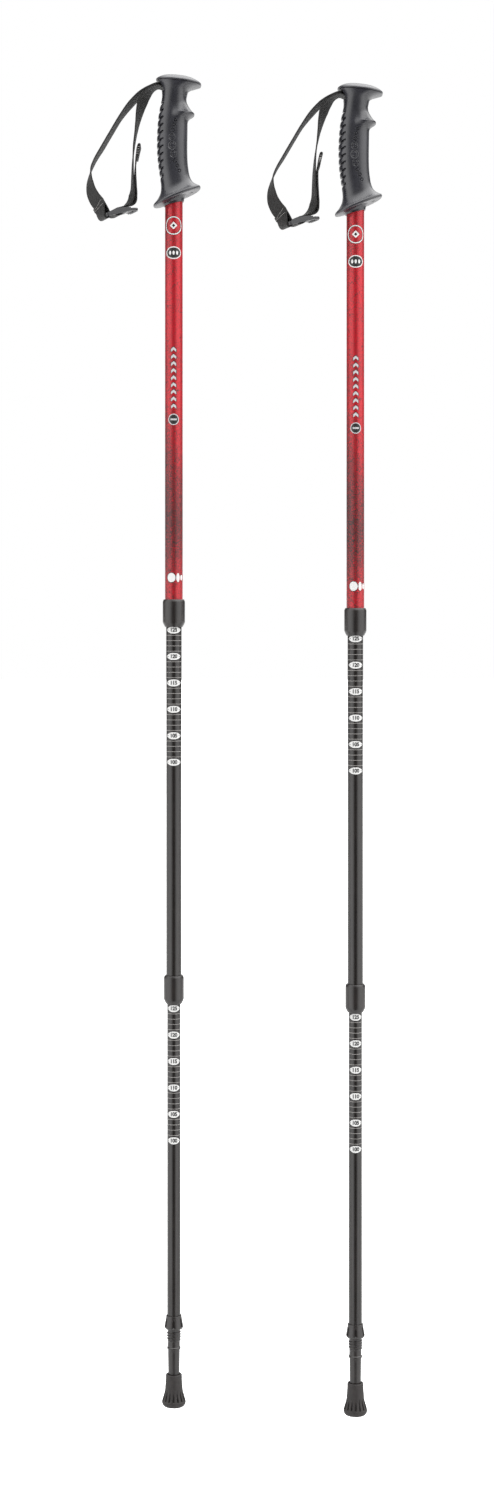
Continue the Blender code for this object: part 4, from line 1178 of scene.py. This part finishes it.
def foot_mesh():
    """The rubber foot: open rim, waisted bell, fluted flare and flat treaded sole."""
    bell = [(7.65, 28.8), (7.75, 25.5), (8.15, 19.5), (8.6, 14.6), (9.35, 11.2), (10.3, 8.2), (11.15, 5.2)]
    outer = smooth_run(bell, 0.3)
    lower = smooth_run([(11.3, 4.6), (11.35, 3.6), (11.0, 2.2), (10.2, 0.8), (9.3, 0.0)], 0.25)
    socket = [(0, 4.5), (3.2, 4.5, 0.4), (3.2, 13.5), (5.75, 13.5, 0.3), (5.75, 26), (6.15, 30.1, 0.2)]
    inside = rounded(socket, step=1.0)
    rim = rounded([(6.15, 30.1), (7.3, 30.1, 0.35), (7.62, 29.4, 0.2), (7.65, 28.8)])
    tread = [(9.3, 0), (7.6, 0, 0.1), (7.4, 0.5, 0.1), (5.6, 0.5, 0.1), (5.4, 0, 0.1), (0, 0)]
    sole = rounded(tread, step=0.8)
    profile = np.concatenate([inside, rim[1:], outer[1:], lower, sole[1:]])

    def shape(r, z, theta):
        off = np.abs((theta * FLUTES / (2 * math.pi)) % 1 - 0.5) * 2
        groove = step_between(off, 0.52, 0.78)
        tall = step_between(z, 5.3, 5.9) * (1 - step_between(z, 14.5, 17.5))
        deep = np.clip((16 - z) * 0.2, 0.3, 1.9)
        return r - np.where(r > 8.0, groove * tall * deep, 0)

    return turned("foot_shown", profile, 288, shape, closed=False, angle=40)


def hard_tip_mesh():
    """The steel tip with its hollow-ground end."""
    high = local_box("hard_tip")[1].z
    corners = [(0, high), (2.5, high, 0.3), (2.5, 8.6, 0.3), (1.95, 6.2, 0.2), (1.75, 5.0, 0.1), (1.2, 5.35),
               (0, 5.7)]
    return turned("hard_tip_shown", rounded(corners), 48, closed=False)


# ---------------------------------------------------------------- building


def build_poles():
    """Every visible piece of both poles."""
    add("grip", grip_mesh(), "grip", "handle", "grip")
    add("top_cap", cap_mesh(), "grip", "handle", "top_cap")
    strap, line, wide, face = sweep("strap_shown", strap_route(), strap_section(), 1.0)
    add("wrist_strap", strap, "strap", "strap", "wrist_strap")
    add("strap_stitching", strap_stitching(line, wide, face), "thread", "strap")
    add("strap_buckle", buckle_mesh(), "buckle", "strap", "strap_buckle")
    add("upper_shaft", shaft_mesh("upper_shaft", UPPER_R, UPPER_WALL), "red", "handle", "upper_shaft")
    for section, radius, wall in (("middle", MIDDLE_R, MIDDLE_WALL), ("lower", LOWER_R, LOWER_WALL)):
        node = f"{section}_shaft"
        add(node, shaft_mesh(node, radius, wall), "tube", f"{section}_section", node)
    upper_end, middle_end = local_box("upper_shaft")[0].z, local_box("middle_shaft")[0].z
    upper_collar = collar_mesh("upper_collar", UPPER_COLLAR_R, UPPER_R, MIDDLE_R, upper_end - 0.3)
    add("upper_collar", upper_collar, "collar", "handle", "upper_collar")
    lower_collar = collar_mesh("lower_collar", LOWER_COLLAR_R, MIDDLE_R, LOWER_R, middle_end - 0.3)
    add("lower_collar", lower_collar, "collar", "middle_section", "lower_collar")
    for section, radius in (("middle", MIDDLE_R), ("lower", LOWER_R)):
        for kind, ink, mesh in scale_prints(SCALE_TOP[section], radius):
            add(f"{section}_scale_{kind}", mesh, ink, f"{section}_section")
    for ink, mesh in upper_prints():
        add(f"shaft_prints_{ink}", mesh, ink, "handle")
    add("tip_ferrule", ferrule_mesh(), "collar", "lower_section", "tip_ferrule")
    add("hard_tip", hard_tip_mesh(), "steel", "lower_section", "hard_tip")
    add("rubber_foot", foot_mesh(), "rubber", "foot", "rubber_foot")


def finish_inner_nodes():
    """Materials for the CAD nodes that stay as they are."""
    finishes = {"pin": "steel", "stud": "steel", "plug": "collar", "cone": "nylon", "expander": "nylon"}
    for name, node in frame["nodes"].items():
        kind = finishes.get(name.rsplit("_", 1)[-1])
        if kind:
            node.data.materials.clear()
            node.data.materials.append(MATERIALS[kind])


# ---------------------------------------------------------------- studio


FLOOR_HALF, FLOOR_FRONT = 12, 0.3
FLOOR_DROP = 0.09  # below the soles, so that a lengthened pole or a pulled foot stays over the floor
CAMERA_X, CAMERA_Z, CAMERA_DISTANCE, CAMERA_LENS, CAMERA_SHIFT = 0.01225, 0.772, 2.28, 57.7, -0.1
# How bright the surround is, as (position, value): 0 behind the poles, 0.5 at their sides and 1 in front.
SURROUND = (
    (0.0, 0.6), (0.03, 0.4), (0.09, 0.05), (0.3, 0.07), (0.42, 0.5), (0.55, 1.0), (0.86, 0.95), (0.945, 0.6),
    (0.975, 0.05), (1.0, 0.02),
)
SURROUND_STRENGTH = 2.1
TOP_LEAN, TOP_EDGE, TOP_GAIN, TOP_STRENGTH = 0.3, 0.56, 4.0, 3.8


def studio_world():
    """A white surround.  The poles mirror a pair of tall soft boxes, a bright top and a dark front."""
    world = bpy.data.worlds.new("studio")
    bpy.context.scene.world = world
    world.use_nodes = True
    n = Nodes(world.node_tree)
    n.tree.nodes.clear()
    x, y, z = n.split(n.add("ShaderNodeTexCoord").outputs["Generated"])
    level = n.math("SQRT", n.math("ADD", n.math("MULTIPLY", x, x), n.math("MULTIPLY", y, y)))
    facing = n.math("DIVIDE", n.math("MULTIPLY", y, -1), n.math("MAXIMUM", level, 0.001))
    sides = n.ramp(n.math("MULTIPLY_ADD", facing, 0.5, 0.5), *SURROUND)
    sides = n.math("MULTIPLY", sides, SURROUND_STRENGTH)
    lean = n.math("MULTIPLY_ADD", x, TOP_LEAN, z)
    above = n.math("MULTIPLY", n.past(lean, TOP_EDGE, TOP_GAIN), TOP_STRENGTH)
    light = n.math("MAXIMUM", sides, above)
    shown = n.add("ShaderNodeLightPath").outputs["Is Camera Ray"]
    strength = n.math("ADD", n.math("MULTIPLY", light, n.math("SUBTRACT", 1.0, shown)), shown)
    background = n.add("ShaderNodeBackground")
    n.feed(background.inputs["Color"], (1, 1, 1, 1))
    n.feed(background.inputs["Strength"], strength)
    output = n.add("ShaderNodeOutputWorld")
    n.feed(output.inputs["Surface"], background.outputs[0])


def studio_floor():
    """A wide white floor under the held-up poles, which ends in front of them, out of the picture."""
    shape = bmesh.new()
    bmesh.ops.create_grid(shape, x_segments=8, y_segments=8, size=FLOOR_HALF)
    bmesh.ops.translate(shape, vec=(0, FLOOR_HALF - FLOOR_FRONT, 0), verts=shape.verts)
    mesh = mesh_of(shape, "floor")
    floor = bpy.data.objects.new("floor", mesh)
    bpy.context.scene.collection.objects.link(floor)
    floor.location.z = -FLOOR_DROP
    n = Surface("floor_white")
    n.set(color=(0.55, 0.55, 0.55), roughness=0.9, specular=0.0)
    n.feed(n.shader.inputs["Emission Color"], (1, 1, 1, 1))
    seen = n.add("ShaderNodeLightPath").outputs["Is Camera Ray"]
    n.feed(n.shader.inputs["Emission Strength"], n.math("MAXIMUM", seen, 0.1))
    mesh.materials.append(n.material)


def studio_camera():
    """A level camera in front of the pair, at the height where the poles are seen square on."""
    data = bpy.data.cameras.new("camera")
    data.lens, data.sensor_width, data.shift_y = CAMERA_LENS, 36, CAMERA_SHIFT
    data.clip_start, data.clip_end = 0.05, 100
    camera = bpy.data.objects.new("camera", data)
    bpy.context.scene.collection.objects.link(camera)
    camera.location = (CAMERA_X, -CAMERA_DISTANCE, CAMERA_Z)
    camera.rotation_euler = (math.pi / 2, 0, 0)
    bpy.context.scene.camera = camera


bpy.context.scene.view_settings.view_transform = "Standard"
studio_camera()
build_poles()
finish_inner_nodes()
studio_world()
studio_floor()
